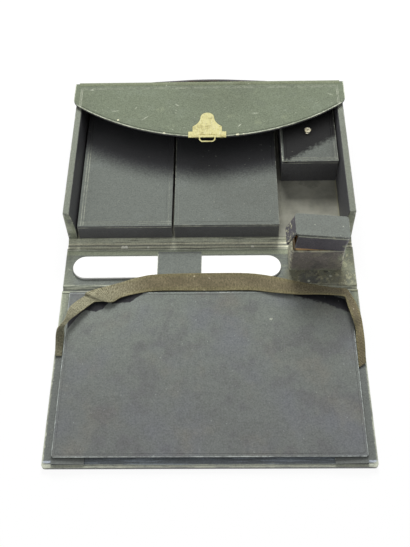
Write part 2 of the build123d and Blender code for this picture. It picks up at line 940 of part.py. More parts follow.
def main():
    left = side_wall(-1)
    right = side_wall(1)
    studs = handle_studs()
    write("tray_floor", tray_floor())
    write("tray_left_wall", rounded_top(left, Axis.Y))
    write("tray_right_wall", rounded_top(right, Axis.Y))
    write("tray_back_wall", back_wall(left, right) - studs)
    write("tray_lining", tray_lining())
    write("flap_hinge_leather", flap_hinge_leather() - studs)

    envelope = (envelope_box_left, envelope_box_right, box_back, box_front)
    paper = (paper_box_left, paper_box_right, box_back, box_front)
    corner = (corner_box_left, corner_box_right, box_back, corner_box_front)
    write("envelope_box", stationery_box(*envelope, envelope_box_top, envelope_lid_thickness))
    write("envelope_box_lid", box_lid(*envelope, envelope_box_top, envelope_lid_thickness))
    write("paper_box", stationery_box(*paper, paper_box_top, paper_lid_thickness))
    write("paper_box_lid", box_lid(*paper, paper_box_top, paper_lid_thickness))
    write("corner_box", stationery_box(*corner, corner_box_top, corner_lid_thickness))
    write("corner_box_lid", corner_lid())
    write("corner_lid_knob", lid_knob())
    write("knob_screw", knob_screw())

    write("spine_hinge_leather", spine_hinge_leather())
    write("spine_board", spine_board())
    write("cover_hinge_leather", cover_hinge_leather())
    write("paper_knife", paper_knife())
    write("knife_loop", knife_loop())
    write("ink_box", ink_box())
    write("ink_box_sleeve", ink_box_sleeve())
    write("ink_box_lid", ink_box_lid())
    write("ink_bottle", ink_bottle())
    write("ink_bottle_cap", ink_bottle_cap())

    write("cover_board", cover_board())
    write("lock_plate", lock_plate())
    write("lock_catch", lock_catch())
    write("lock_tacks", lock_tacks())
    write("pocket_back", pocket_back())
    write("pocket_fold", pocket_fold())
    write("pocket_left_gusset", pocket_gusset(-1))
    write("pocket_right_gusset", pocket_gusset(1))
    write("pocket_front", pocket_front())
    write("retaining_band", retaining_band())

    write("flap_board", flap_board())
    write("flap_lining", flap_lining())
    write("hasp_plate", hasp_plate())
    write("hasp_tacks", hasp_tacks())
    write("hasp_hinge_pin", hasp_hinge_pin())
    write("hasp_staple", hasp_staple())

    write("handle_strap", handle_strap())
    write("handle_plates", handle_plates(studs))
    write("handle_studs", studs)


main()
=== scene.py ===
"""Dresses an open leather writing case in worn leather, webbing, bone and brass, on a plain white stage.

Numbers typed here are in millimetres unless a comment says otherwise. Settings and meshes are in metres.
"""

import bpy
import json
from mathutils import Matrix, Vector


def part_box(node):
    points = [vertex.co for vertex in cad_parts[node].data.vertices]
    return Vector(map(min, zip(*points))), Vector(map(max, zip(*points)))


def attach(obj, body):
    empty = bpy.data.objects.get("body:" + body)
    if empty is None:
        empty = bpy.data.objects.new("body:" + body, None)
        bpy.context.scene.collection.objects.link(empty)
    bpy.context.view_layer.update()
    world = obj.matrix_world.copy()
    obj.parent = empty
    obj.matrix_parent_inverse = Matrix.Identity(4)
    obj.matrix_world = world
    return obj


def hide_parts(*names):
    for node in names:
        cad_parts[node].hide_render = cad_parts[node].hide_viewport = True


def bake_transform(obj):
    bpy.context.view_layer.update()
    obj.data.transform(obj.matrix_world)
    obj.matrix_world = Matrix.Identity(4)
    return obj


bl_info = {
    "name": "Leather writing case",
    "version": (1, 0, 0),
    "blender": (4, 5, 0),
    "location": "3D View > Sidebar > Writing case",
    "description": "Dresses the frame of an open leather writing case and sets its stage",
    "category": "Add Mesh",
}

import bpy
import bmesh
import json
import math
from bpy.props import FloatProperty, FloatVectorProperty, PointerProperty
from mathutils import Matrix, Vector, noise
from mathutils.bvhtree import BVHTree

MM = 0.001
X, Y, Z = 0, 1, 2

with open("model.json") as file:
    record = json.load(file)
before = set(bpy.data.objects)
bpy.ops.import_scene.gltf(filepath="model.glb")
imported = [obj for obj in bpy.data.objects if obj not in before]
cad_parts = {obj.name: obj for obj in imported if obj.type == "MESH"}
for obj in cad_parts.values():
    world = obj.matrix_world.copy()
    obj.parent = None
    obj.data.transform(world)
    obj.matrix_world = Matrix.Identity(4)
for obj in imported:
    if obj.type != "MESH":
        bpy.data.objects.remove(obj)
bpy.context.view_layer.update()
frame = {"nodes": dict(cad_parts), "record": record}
record = frame["record"]
body_of_node = {
    node: body for body, nodes in record["behaviour"]["bodies"].items() for node in nodes
}
slot_of_node = {entry["node"]: entry["material_slot"] for entry in record["subparts"]}


def box(node):
    """The lowest and the highest corner of a node."""
    return [Vector(corner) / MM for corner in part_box(node)]


def colour_setting(name, description, default):
    return FloatVectorProperty(
        name=name, description=description, default=default, size=3, min=0, max=1, subtype="COLOR"
    )


def length_setting(name, description, millimetres):
    return FloatProperty(
        name=name, description=description, default=millimetres * MM, min=0, unit="LENGTH"
    )


class CaseColours(bpy.types.PropertyGroup):
    """The case's colours"""

    # faded_and_sheen is faded leather made paler with painted sheen; dark is the same leather darkened with
    # painted shade, for faces that look sideways
    faded_and_sheen: colour_setting("Faded leather", "Leather that faces up, greyed by light", (0.14, 0.154, 0.137))
    dark: colour_setting("Dark leather", "Leather that faces sideways", (0.08, 0.081, 0.086))
    worn: colour_setting("Worn leather", "Leather rubbed pale along its edges", (0.5, 0.52, 0.42))
    green: colour_setting("Margin leather", "Leather at the folds and margins", (0.27, 0.3, 0.2))
    lining: colour_setting("Lining", "Thin lining of the tray", (0.23, 0.23, 0.19))
    webbing: colour_setting("Webbing", "Woven band", (0.2, 0.175, 0.095))
    brass: colour_setting("Brass", "Pale worn brass", (0.8, 0.755, 0.38))
    bone: colour_setting("Bone", "Paper knife", (0.97, 0.97, 0.955))
    board: colour_setting("Raw board", "Bare board inside the ink box", (0.84, 0.53, 0.27))


class CaseSizes(bpy.types.PropertyGroup):
    """The sizes of the case's finish"""

    wear: length_setting("Wear", "Width of the pale wear along an edge", 2.6)
    tooling: length_setting("Tooling", "Width of one tooled line", 0.7)
    tooling_depth: length_setting("Tooling depth", "Depth of one tooled line", 0.25)


# Materials

def math_node(operation, turned=False):
    """Makes a method that adds a Math node. Where it is turned, the second value comes first."""

    def method(value, *others):
        values = (*others, value) if turned else (value, *others)
        return value.nodes.add("ShaderNodeMath", {"operation": operation}, dict(enumerate(values)))

    return method


class Value:
    """A number that changes over a surface. Python's operators on it add Math nodes."""

    def __init__(self, nodes, link):
        self.nodes = nodes
        self.link = link

    __add__, __radd__ = math_node("ADD"), math_node("ADD", True)
    __sub__, __rsub__ = math_node("SUBTRACT"), math_node("SUBTRACT", True)
    __mul__ = math_node("MULTIPLY")
    least, most = math_node("MINIMUM"), math_node("MAXIMUM")
    size, wave, root = math_node("ABSOLUTE"), math_node("SINE"), math_node("SQRT")

    def span(self, low, high):
        """0 at low and 1 at high, with a soft turn at both ends."""
        inputs = {0: self, 1: low, 2: high, 3: 0.0, 4: 1.0}
        return self.nodes.add("ShaderNodeMapRange", {"interpolation_type": "SMOOTHSTEP"}, inputs)


class Nodes:
    """A node tree that nodes are added to."""

    def __init__(self, tree):
        self.tree = tree

    def add(self, kind, settings, inputs, output=0):
        node = self.tree.nodes.new(kind)
        for key, value in settings.items():
            setattr(node, key, value)
        for key, value in inputs.items():
            if isinstance(value, Value):
                self.tree.links.new(value.link, node.inputs[key])
            else:
                node.inputs[key].default_value = value
        return Value(self, node.outputs[output])


class Finish(Nodes):
    """One material, its shader and the values that drive it."""

    def __init__(self, name, coordinate="Object"):
        self.material = bpy.data.materials.new(name)
        self.material.use_nodes = True
        super().__init__(self.material.node_tree)
        self.shader = self.tree.nodes["Principled BSDF"]
        self.place = self.coordinate(coordinate)
        self.x, self.y, self.z = (part * (1 / MM) for part in self.parts(self.place))

    def coordinate(self, kind):
        return self.add("ShaderNodeTexCoord", {}, {}, kind)

    def parts(self, vector):
        split = self.add("ShaderNodeSeparateXYZ", {}, {0: vector}).link.node
        return [Value(self, out) for out in split.outputs]

    def up(self):
        """1 where the surface faces up and 0 where it faces sideways or down."""
        return self.parts(self.coordinate("Normal"))[Z].span(0.35, 0.95)

    def stretched(self, scale):
        return self.add("ShaderNodeMapping", {}, {"Vector": self.place, "Scale": scale})

    def noise(self, scale, detail=3.0, roughness=0.55, place=None):
        inputs = {"Vector": place or self.place, "Scale": scale, "Detail": detail, "Roughness": roughness}
        return self.add("ShaderNodeTexNoise", {}, inputs, "Fac")

    def cells(self, scale):
        return self.add("ShaderNodeTexVoronoi", {}, {"Vector": self.place, "Scale": scale}, "Distance")

    def mix(self, amount, first, second):
        first = first if isinstance(first, Value) else (*first, 1.0)
        second = second if isinstance(second, Value) else (*second, 1.0)
        settings = {"data_type": "RGBA", "clamp_factor": True}
        return self.add("ShaderNodeMix", settings, {0: amount, 6: first, 7: second}, 2)

    def tinted(self, colour, tints):
        """The colour with each tint laid over it. A tint is a mask and its own colour."""
        for laid, tint in tints:
            colour = self.mix(laid(self), colour, tint)
        return colour

    def layered(self, colour, *layers):
        """The colour with layers over it.

        A layer is a value, the numbers at which it sets in and is whole, its share, and its own colour or a
        factor on the colour below.
        """
        for value, low, high, share, layer in layers:
            over = self.shaded(colour, layer) if isinstance(layer, float) else layer
            colour = self.mix(value.span(low, high) * share, colour, over)
        return colour

    def shaded(self, colour, factor):
        """A changing colour, darker or paler."""
        settings = {"data_type": "RGBA", "blend_type": "MULTIPLY", "clamp_result": True}
        return self.add("ShaderNodeMix", settings, {0: 1.0, 6: colour, 7: (factor, factor, factor, 1.0)}, 2)

    def bump(self, height, strength, distance):
        inputs = {"Height": height, "Strength": strength, "Distance": distance * MM}
        return self.add("ShaderNodeBump", {}, inputs, "Normal")

    def set(self, **sockets):
        for name, value in sockets.items():
            socket = self.shader.inputs[name.replace("_", " ").title()]
            if isinstance(value, Value):
                self.tree.links.new(value.link, socket)
            elif isinstance(value, (tuple, list)):
                socket.default_value = (*value, 1.0)
            else:
                socket.default_value = value
        return self.material

    def edge_distance(self, low, high):
        """Distance over the surface from the upper edges of a box."""
        from_side = (self.x - low.x).least(high.x - self.x)
        from_end = (self.y - low.y).least(high.y - self.y)
        return from_side.least(from_end) + (high.z - self.z).most(0.0)

    def near(self, point, radius):
        """1 at a point, falling to 0 at the radius."""
        inputs = {0: self.place, 1: Vector(point) * MM}
        distance = self.add("ShaderNodeVectorMath", {"operation": "DISTANCE"}, inputs, "Value")
        return distance.span(radius * MM, 0.0)


# The flap's curved edge, and how far to the front of it its painted shadow reaches for each unit of depth
# below
FLAP_RADIUS = 250.0
SHADE_SLOPE = 1.35

# Lower borders of the painted shadow that the raised band casts on the pocket: x and y at the left,
# x and y at the right, and the border's softness
BAND_SHADOW_BORDERS = (
    (-141.0, -210.0, -130.5, -194.0, 0.6), (-130.5, -194.0, -125.0, -189.2, 0.6),
    (-125.0, -189.2, -114.5, -191.2, 0.7), (-114.5, -191.2, -108.0, -188.2, 0.7),
    (-108.0, -188.2, -103.5, -182.0, 0.7), (-98.5, -181.4, -80.7, -180.0, 0.7),
    (-80.7, -180.0, -68.4, -170.5, 0.7), (86.0, -173.5, 119.0, -184.0, 1.8),
    (119.0, -184.0, 142.0, -194.5, 1.8),
)

# The tones that old black leather drifts to
BROWNED = (0.12, 0.1, 0.075)
BLUED = (0.2, 0.23, 0.26)


def shade(colour, factor):
    return tuple(min(1.0, channel * factor) for channel in colour)


def blend_colours(first, second, amount):
    return tuple(a + (b - a) * amount for a, b in zip(first, second))


def leather(name, top, side, worn, edge=None, wear=0.0, scuffs=0.4, rubbed=0.6, tints=(), gloss=0.5):
    """Old leather: faded and paler above with painted sheen, darker at the sides with painted shade,
    grained, scuffed and rubbed pale at its edges.

    edge takes the finish and gives the distance from the edges.
    """
    f = Finish(name)
    upward = f.up()
    mottle = f.noise(11.0, 4.0)
    cloud = f.noise(45.0, 5.0, 0.6)
    grain = f.cells(620.0)
    speckle = f.noise(700.0, 2.0)
    ragged = f.noise(260.0, 4.0, 0.7)
    darker = f.mix(upward, shade(side, 0.6), blend_colours(shade(top, 0.7), BROWNED, 0.12))
    paler = f.mix(upward, shade(side, 1.5), blend_colours(shade(top, 1.25), BLUED, 0.12))
    # Painted sheen and shade: faces that look up take the paler top colour, faces that look sideways the
    # darker side colour
    colour = f.mix(upward, side, top)
    colour = f.layered(colour, (mottle, 0.48, 0.72, 0.45, darker), (cloud, 0.5, 0.75, 0.45, paler))
    pebbles = speckle * 0.7 + ragged * 0.3
    colour = f.layered(
        f.tinted(colour, tints), (pebbles, 0.52, 0.36, 0.6, 0.62), (pebbles, 0.52, 0.66, 0.55, 1.38)
    )
    marks = f.noise(330.0, 1.0).span(0.74, 0.8) * scuffs
    turned = f.add("ShaderNodeAttribute", {"attribute_name": "turned_edge"}, {}, "Fac")
    marks = marks.most(turned * (ragged + cloud - 0.5).span(0.35, 0.6) * rubbed)
    if edge:
        rub = (edge(f) + (ragged - 0.5) * wear * 2.2).span(wear, wear * 0.15)
        marks = marks.most(rub * (cloud.span(0.3, 0.6) * 0.7 + 0.2))
    height = grain.span(0.0, 0.75) * 0.55 + f.noise(260.0, 3.0) * 0.45
    waves = {
        "Height": f.noise(24.0, 2.0), "Strength": 0.35, "Distance": 0.8 * MM,
        "Normal": f.bump(height, 0.4, 0.25),
    }
    return f.set(
        base_color=f.mix(marks, colour, worn), roughness=gloss + marks * 0.3 + (cloud - 0.5) * 0.2,
        normal=f.add("ShaderNodeBump", {}, waves, "Normal"),
    )


# Masks. Each one is described first, and drawn when its finish f is there

def mask(draw):
    """Makes of draw(f, ...) a function that takes the rest and leaves the finish for later."""
    return lambda *given, **named: lambda f: draw(f, *given, **named)


@mask
def both(f, first, second):
    return first(f) * second(f)


@mask
def above(f, other):
    """The other mask, on faces that look up alone."""
    return other(f) * f.up()


@mask
def facing(f, axis, sign, amount=1.0):
    """Faces turned along an axis, to its high end where the sign is 1 and to its low end where it is -1."""
    return (f.parts(f.coordinate("Normal"))[axis] * sign).span(0.5, 0.8) * amount


@mask
def toward(f, axis, start, end, amount=1.0):
    """Nothing at the start, and the whole amount at the end."""
    return (f.x, f.y, f.z)[axis].span(start, end) * amount


@mask
def mottled(f, scale, low, high, amount, detail=5.0, roughness=0.7):
    """Patches where a noise passes from low to high."""
    return f.noise(scale, detail, roughness).span(low, high) * amount


@mask
def painted_flap_shadow(f, level, amount):
    """Painted shadow that the flap casts on leather at a level: a ragged arc like the flap's own."""
    flap_low = box("flap_board")[0]
    along = f.y - (flap_low.y + FLAP_RADIUS - (flap_low.z - level) * SHADE_SLOPE)
    inside = FLAP_RADIUS - (f.x * f.x + along * along).root()
    return (inside + (f.noise(500.0, 3.0, 0.7) - 0.5) * 26).span(-21, 9) * amount


@mask
def blotch(f, point, radius, amount):
    """A ragged spot."""
    ragged = (f.noise(max(200.0, 1800.0 / radius), 4.0, 0.7) - 0.5) * 1.8
    return (f.near(point, radius) + ragged).span(0.4, 0.8) * amount


@mask
def chip(f, point, radius):
    """A small place where the leather is rubbed through."""
    return f.near(point, radius).span(0.3, 0.5)


@mask
def scratch(f, x, y, length, turn):
    """A short scuffed line, turned from X by an angle in degrees."""
    cosine, sine = math.cos(math.radians(turn)), math.sin(math.radians(turn))
    right, away = f.x - x, f.y - y
    along = (right * cosine + away * sine).size().span(length / 2, 0.0)
    across = (away * cosine - right * sine).size().span(0.9, 0.1)
    return along * across * f.noise(800.0, 3.0).span(0.35, 0.55) * 0.75


@mask
def wedge(f, x1, y1, x2, y2, soft, amount=0.97, reach=1000.0):
    """Painted shade on the far side of a line across the case, between the line's two ends."""
    slope = (y2 - y1) / (x2 - x1)
    ragged = (f.noise(300.0, 3.0) - 0.5) * soft * 3.4
    distance = f.y - y1 - (f.x - x1) * slope + ragged
    beyond = distance.span(-soft, soft) * distance.span(reach + soft, reach)
    return beyond * f.x.span(x1 - 1.5, x1) * f.x.span(x2 + 1.5, x2) * amount


@mask
def margin(f, half, width, amount, start=-1000.0, end=1000.0):
    """Streaks along both sides, growing from start to end along Y."""
    strands = f.noise(1.0, 3.0, place=f.stretched((420.0, 22.0, 60.0)))
    reach = (half - f.x.size() + (strands - 0.5) * width).span(width, width * 0.1)
    return reach * (strands.span(0.3, 0.62) * 0.65 + 0.35) * amount * f.y.span(start, end)


@mask
def ruled(f, distance, insets, amount):
    """Dust in tooled lines, each at its distance from the edge."""
    away = distance(f)
    dust = f.noise(110.0, 3.0, 0.6).span(0.25, 0.55) * amount
    lines = [(away - inset).size().span(0.7, 0.25) * dust for inset in insets]
    return lines[0] if len(lines) == 1 else lines[0].most(lines[1])


@mask
def crease(f, place, width, amount, gaps=0.0):
    """A line across the case, broken where its noise falls below the gaps."""
    breaks = f.noise(1.0, 3.0, place=f.stretched((85.0, 600.0, 60.0)))
    wander = (f.noise(1.0, 2.0, place=f.stretched((12.0, 0.0, 0.0))) - 0.5) * 1.6
    line = (f.y - place + wander).size().span(width, width * 0.3)
    return line * breaks.span(gaps - 0.08, gaps + 0.08) * amount


@mask
def streaks(f, low, high, amount):
    """Fine lines along the case, where a noise passes from low to high."""
    return f.noise(1.0, 4.0, 0.65, place=f.stretched((26.0, 620.0, 60.0))).span(low, high) * amount


def lining_finish(name, colour, dust, tints=()):
    """Thin lining, dusty and stained."""
    f = Finish(name)
    stain = f.noise(26.0, 5.0, 0.65)
    fibres = f.noise(500.0, 2.0)
    tone = f.mix(stain.span(0.3, 0.7), shade(colour, 0.7), shade(colour, 1.25))
    tone = f.mix(f.noise(70.0, 5.0, 0.6).span(0.5, 0.8) * dust, tone, (0.26, 0.26, 0.2))
    normal = f.bump(fibres * 0.6 + stain * 0.4, 0.35, 0.3)
    return f.set(base_color=f.tinted(tone, tints), roughness=0.8 + (stain - 0.5) * 0.1, normal=normal)


def brass_finish(name, colour):
    """Pale brass with brown in its hollows and soft scratches."""
    f = Finish(name)
    tarnish = f.noise(160.0, 4.0, 0.65)
    scratches = f.noise(900.0, 2.0, place=f.stretched((1.0, 0.12, 1.0)))
    pits = f.noise(480.0, 3.0, 0.6)
    tone = f.layered(
        colour, (tarnish, 0.5, 0.74, 0.6, (0.36, 0.3, 0.13)), (pits, 0.5, 0.34, 0.5, (0.42, 0.37, 0.18)),
        (scratches, 0.54, 0.7, 0.5, (0.95, 0.92, 0.68)),
    )
    roughness = 0.4 + tarnish.span(0.45, 0.8) * 0.25
    normal = f.bump(scratches * 0.4 + tarnish * 0.6, 0.22, 0.15)
    return f.set(base_color=tone, metallic=1.0, roughness=roughness, normal=normal)


def bone_finish(name, colour):
    """Polished bone with fine lengthwise pores."""
    f = Finish(name)
    pores = f.noise(600.0, 2.0, place=f.stretched((0.05, 1.0, 1.0)))
    cloud = f.noise(18.0, 3.0)
    tone = f.layered(
        colour, (cloud, 0.4, 0.75, 0.4, shade(colour, 0.93)), (pores, 0.66, 0.74, 0.25, (0.55, 0.52, 0.42))
    )
    return f.set(base_color=tone, roughness=0.38 + pores * 0.1, normal=f.bump(pores, 0.08, 0.1))


def board_finish(name, colour, tints=()):
    """Bare pasteboard with a fibrous, browned surface."""
    f = Finish(name)
    layers = f.noise(400.0, 3.0, place=f.stretched((0.2, 0.2, 3.0)))
    tone = f.mix(layers.span(0.35, 0.7), shade(colour, 0.7), shade(colour, 1.25))
    return f.set(base_color=f.tinted(tone, tints), roughness=0.85, normal=f.bump(layers, 0.5, 0.4))


def steel_finish(name):
    """Dull steel, browned in places."""
    f = Finish(name)
    dull = f.noise(300.0, 4.0)
    tone = f.mix(dull.span(0.4, 0.7), (0.42, 0.4, 0.37), (0.22, 0.18, 0.15))
    return f.set(base_color=tone, metallic=1.0, roughness=0.4 + dull * 0.2, normal=f.bump(dull, 0.2, 0.1))


def glass_finish(name):
    """Old green-blue glass, slightly rippled."""
    f = Finish(name)
    normal = f.bump(f.noise(70.0, 2.0), 0.1, 0.3)
    return f.set(base_color=(0.2, 0.27, 0.27), roughness=0.12, normal=normal, transmission_weight=1.0)


def webbing_finish(name, colour, rib=1.5, threads=26):
    """Woven band: ribs across it, fine threads along it, browner along its middle.

    rib is the distance from one rib to the next, and threads is their number over the width.
    """
    f = Finish(name, "UV")
    surface = f.coordinate("Object")
    across = f.parts(f.place)[Y]
    fade = f.noise(60.0, 4.0, place=surface)
    fuzz = f.noise(1400.0, 2.0, place=surface)
    dashes = f.noise(1.0, 2.0, place=f.stretched((620.0, 8.0, 1.0)))
    ribs = ((f.x + (fade - 0.5) * 0.4) * (2 * math.pi / rib)).wave()
    yarns = (across * (threads * 2 * math.pi)).wave()
    cloth = ribs * 0.55 + yarns * 0.2 + ribs * yarns * 0.3
    middle = (across - 0.5).size()
    spots = f.noise(170.0, 1.0, place=surface)
    tone = f.layered(
        colour, (middle, 0.42, 0.2, 1.0, blend_colours(colour, (0.155, 0.125, 0.09), 0.45)),
        # The band grows paler toward its left end, and toward its right end with painted light against the
        # shade of the ink box and its own tilt
        (f.x, 150, 70, 0.85, blend_colours(colour, (0.5, 0.5, 0.36), 0.58)), (f.x, 260, 310, 0.5, 1.6),
    )
    tone = f.layered(
        f.shaded(tone, 0.8), (fade, 0.35, 0.7, 0.8, f.shaded(tone, 1.2)),
        (dashes, 0.5, 0.36, 0.7, shade(colour, 0.42)), (dashes, 0.54, 0.68, 0.6, 1.5),
        (cloth, 0.15, -0.75, 0.6, shade(colour, 0.4)), (fuzz, 0.62, 0.74, 0.35, (0.42, 0.38, 0.25)),
        (spots, 0.76, 0.8, 0.7, (0.6, 0.55, 0.4)), (middle, 0.455, 0.5, 0.4, shade(colour, 1.6)),
    )
    normal = f.bump(cloth + fuzz * 0.4, 0.6, 0.4)
    return f.set(base_color=tone, roughness=0.85 + fuzz * 0.1, normal=normal)


# Meshes

def finished(name, bm, material, body, slot=None, replaces=(), sharp=38.0):
    """Makes a piece of the mesh, at the origin, and lets it ride on its body."""
    bmesh.ops.recalc_face_normals(bm, faces=bm.faces)
    for face in bm.faces:
        face.smooth = True
    for edge in bm.edges:
        if len(edge.link_faces) == 2 and edge.calc_face_angle() > math.radians(sharp):
            edge.smooth = False
    mesh = bpy.data.meshes.new(name)
    bm.to_mesh(mesh)
    bm.free()
    mesh.materials.append(material)
    piece = bpy.data.objects.new(name, mesh)
    even = piece.modifiers.new("even_normals", "WEIGHTED_NORMAL")
    even.keep_sharp = True
    bpy.context.scene.collection.objects.link(piece)
    if body:
        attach(piece, body)
    if replaces:
        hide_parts(*replaces)
        slot = slot or slot_of_node[replaces[0]]
    return piece


def copied(node):
    """A merged copy of a frame node's mesh with its flat faces whole."""
    bm = bmesh.new()
    bm.from_mesh(frame["nodes"][node].data)
    bmesh.ops.remove_doubles(bm, verts=bm.verts, dist=1e-6)
    bmesh.ops.dissolve_limit(bm, angle_limit=math.radians(0.6), verts=bm.verts, edges=bm.edges)
    return bm


def round_edges(bm, width, sharp):
    """Rounds the sharp edges, and marks the middle of each so that its finish can wear there."""
    turned = bm.verts.layers.float.new("turned_edge")
    edges = [e for e in bm.edges if len(e.link_faces) == 2 and e.calc_face_angle() > math.radians(sharp)]
    made = bmesh.ops.bevel(
        bm, geom=edges, offset=width, offset_type="OFFSET", segments=3, profile=0.5,
        affect="EDGES", clamp_overlap=True, material=-1,
    )
    rounded = set(made["faces"])
    for vert in made["verts"]:
        vert[turned] = float(all(face in rounded for face in vert.link_faces))


def open_top(bm):
    """Takes the flat top away. Gives the edges round it, the edges round its holes, and its level."""
    first = max((f for f in bm.faces if f.normal.z > 0.99), key=lambda f: f.calc_area())
    level = first.calc_center_median().z
    top = {f for f in bm.faces if f.normal.z > 0.9999 and abs(f.calc_center_median().z - level) < 1e-6}
    edges = {e for f in top for e in f.edges}
    border = [e for e in edges if sum(f in top for f in e.link_faces) == 1]
    inside = [e for e in edges if sum(f in top for f in e.link_faces) == 2]
    bmesh.ops.delete(bm, geom=list(top), context="FACES_ONLY")
    bmesh.ops.delete(bm, geom=inside, context="EDGES")
    outer = {max(border, key=lambda e: max(v.co.x for v in e.verts))}
    found = list(outer)
    while found:
        for vert in found.pop().verts:
            fresh = [e for e in vert.link_edges if e in border and e not in outer]
            outer.update(fresh)
            found.extend(fresh)
    holes = [e for e in border if e not in outer]
    return list(outer), holes, level


def rectangle(low, high):
    """Outlines of a box's top, each drawn in from its sides by an inset. All of it is in metres."""

    def outline(bm, inset, level):
        centre = ((low[0] + high[0]) / 2, (low[1] + high[1]) / 2, level)
        half = ((high[0] - low[0]) / 2 - inset, (high[1] - low[1]) / 2 - inset, 1, 1)
        matrix = Matrix.Translation(centre) @ Matrix.Diagonal(half)
        made = bmesh.ops.create_grid(bm, x_segments=1, y_segments=1, size=1, matrix=matrix)
        return made["verts"][0].link_faces[0]

    return outline


def tool_lines(bm, outline, insets):
    """Presses lines into the flat top, each at its distance from the edge."""
    width, depth = sizes().tooling, sizes().tooling_depth
    edges, holes, level = open_top(bm)
    for inset in insets:
        line = inset * MM
        for step, drop in ((line - width / 2, 0), (line, depth), (line + width / 2, 0)):
            inner = outline(bm, step, level - drop)
            inner_edges = inner.edges[:]
            bmesh.ops.delete(bm, geom=[inner], context="FACES_ONLY")
            bmesh.ops.triangle_fill(bm, use_beauty=True, edges=edges + inner_edges)
            for edge in inner_edges:
                edge.smooth = False
            edges = inner_edges
    bmesh.ops.triangle_fill(bm, use_beauty=True, edges=edges + holes)


def dress(node, material, width, lines=(), outline=None, sharp=35.0):
    """Replaces a rigid node with its copy: edges rounded, lines tooled, its finish on."""
    bm = copied(node)
    bm.normal_update()
    if width:
        round_edges(bm, width * MM, sharp)
        bm.normal_update()
    if lines:
        tool_lines(bm, outline or rectangle(*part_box(node)), lines)
    return finished(node + "_finished", bm, material, body_of_node[node], replaces=(node,))


def drawn_out(outline, step, cuts):
    """A closed outline drawn out by the same step as often as there are cuts."""
    bm = bmesh.new()
    first = end = bm.faces.new([bm.verts.new(Vector(point) * MM) for point in outline])
    for _ in range(cuts):
        out = bmesh.ops.extrude_face_region(bm, geom=[end])
        moved = [v for v in out["geom"] if isinstance(v, bmesh.types.BMVert)]
        bmesh.ops.translate(bm, verts=moved, vec=Vector(step) * MM)
        old = end
        end = next(f for f in out["geom"] if isinstance(f, bmesh.types.BMFace))
        if old is not first:
            bmesh.ops.delete(bm, geom=[old], context="FACES_ONLY")
    return bm


# Level from which the strips of leather are rippled
RIPPLE_FOOT = 1.2 * MM


def strip_along_x(name, outline, x_low, x_high, material, replaced, ripple=0.0, cuts=60):
    """A closed outline in Y and Z drawn out along X, with a slight ripple along it."""
    bm = drawn_out([(x_low, y, z) for y, z in outline], ((x_high - x_low) / cuts, 0, 0), cuts)
    for v in bm.verts:
        if v.co.z > RIPPLE_FOOT:
            push = noise.noise(Vector((v.co.x * 45, v.co.y * 160, 3.0)))
            v.co.z += push * ripple * min(MM, v.co.z - RIPPLE_FOOT)
    return finished(name, bm, material, None, replaces=(replaced,), sharp=50)


def smooth_line(points, pieces=8):
    """A smooth line through the points, with the same number of steps from each to the next."""
    line = []
    last = len(points) - 1
    for i, (start, end) in enumerate(zip(points, points[1:])):
        out = (end - points[max(i - 1, 0)]) * 0.5
        into = (points[min(i + 2, last)] - start) * 0.5
        for k in range(pieces):
            t = k / pieces
            line.append(
                start * (2 * t**3 - 3 * t**2 + 1) + out * (t**3 - 2 * t**2 + t)
                + end * (-2 * t**3 + 3 * t**2) + into * (t**3 - t**2)
            )
    return line + [points[-1]]


# The maker's steps, one operator each

def colours():
    return bpy.context.scene.case_colours


def sizes():
    return bpy.context.scene.case_sizes


def node_leather(node, top=None, side=None, wear=None, worn=None, **more):
    """The leather of one piece, rubbed along that piece's own edges."""
    c = colours()
    low, high = box(node)
    return leather(
        node + "_leather", top or c.faded_and_sheen, side or c.dark, worn or c.worn,
        edge=lambda f: f.edge_distance(low, high), wear=wear or sizes().wear / MM, **more,
    )


def dress_in_leather(node, width, lines=(), **looks):
    dress(node, node_leather(node, **looks), width, lines)


def matt(material, specular=0.22):
    """Dusty leather that hardly shines."""
    material.node_tree.nodes["Principled BSDF"].inputs["Specular IOR Level"].default_value = specular
    return material


class CASE_OT_tray(bpy.types.Operator):
    """Floor, walls and lining of the tray"""

    bl_idname = "case.tray"
    bl_label = "Tray"

    def execute(self, context):
        c = colours()
        rubbed = blend_colours(c.green, c.worn, 0.4)
        top = blend_colours(shade(c.faded_and_sheen, 0.77), rubbed, 0.27)
        floor_low, floor_high = box("tray_floor")
        for side, node, inner in (
            (-1, "tray_left_wall", shade(c.dark, 0.3)), (1, "tray_right_wall", c.dark),
        ):
            x, y, crown = side * floor_high.x, floor_low.y, box(node)[1].z
            tints = (
                (both(facing(Y, -1), mottled(90.0, 0.2, 0.5, 0.75, 4.0, 0.55)), c.green),
                # Painted shade on the wall's inner face, near black on the left wall
                (facing(X, -side, 0.6), inner),
                (blotch((x, y, 22), 17, 0.3), c.worn),
                (blotch((x, y, crown - 3), 6, 0.7), c.worn),
                (blotch((x, y, 9), 6, 0.5), c.worn),
            )
            dress_in_leather(node, 1.4, top=top, wear=1.4, tints=tints)
        dress_in_leather("tray_back_wall", 0.3, top=rubbed, wear=1.5)
        dress_in_leather("tray_floor", 0.6, wear=1.0)
        tints = (
            (margin(box("tray_lining")[1].x, 3.2, 0.8), (0.3, 0.29, 0.15)),
            # A dark patch on the lining at the corner box's foot: painted shade
            (blotch((112, -12, 3.9), 30, 0.5), shade(c.lining, 0.55)),
        )
        dress("tray_lining", lining_finish("tray_lining_paper", c.lining, 0.55, tints), 0)
        return {"FINISHED"}


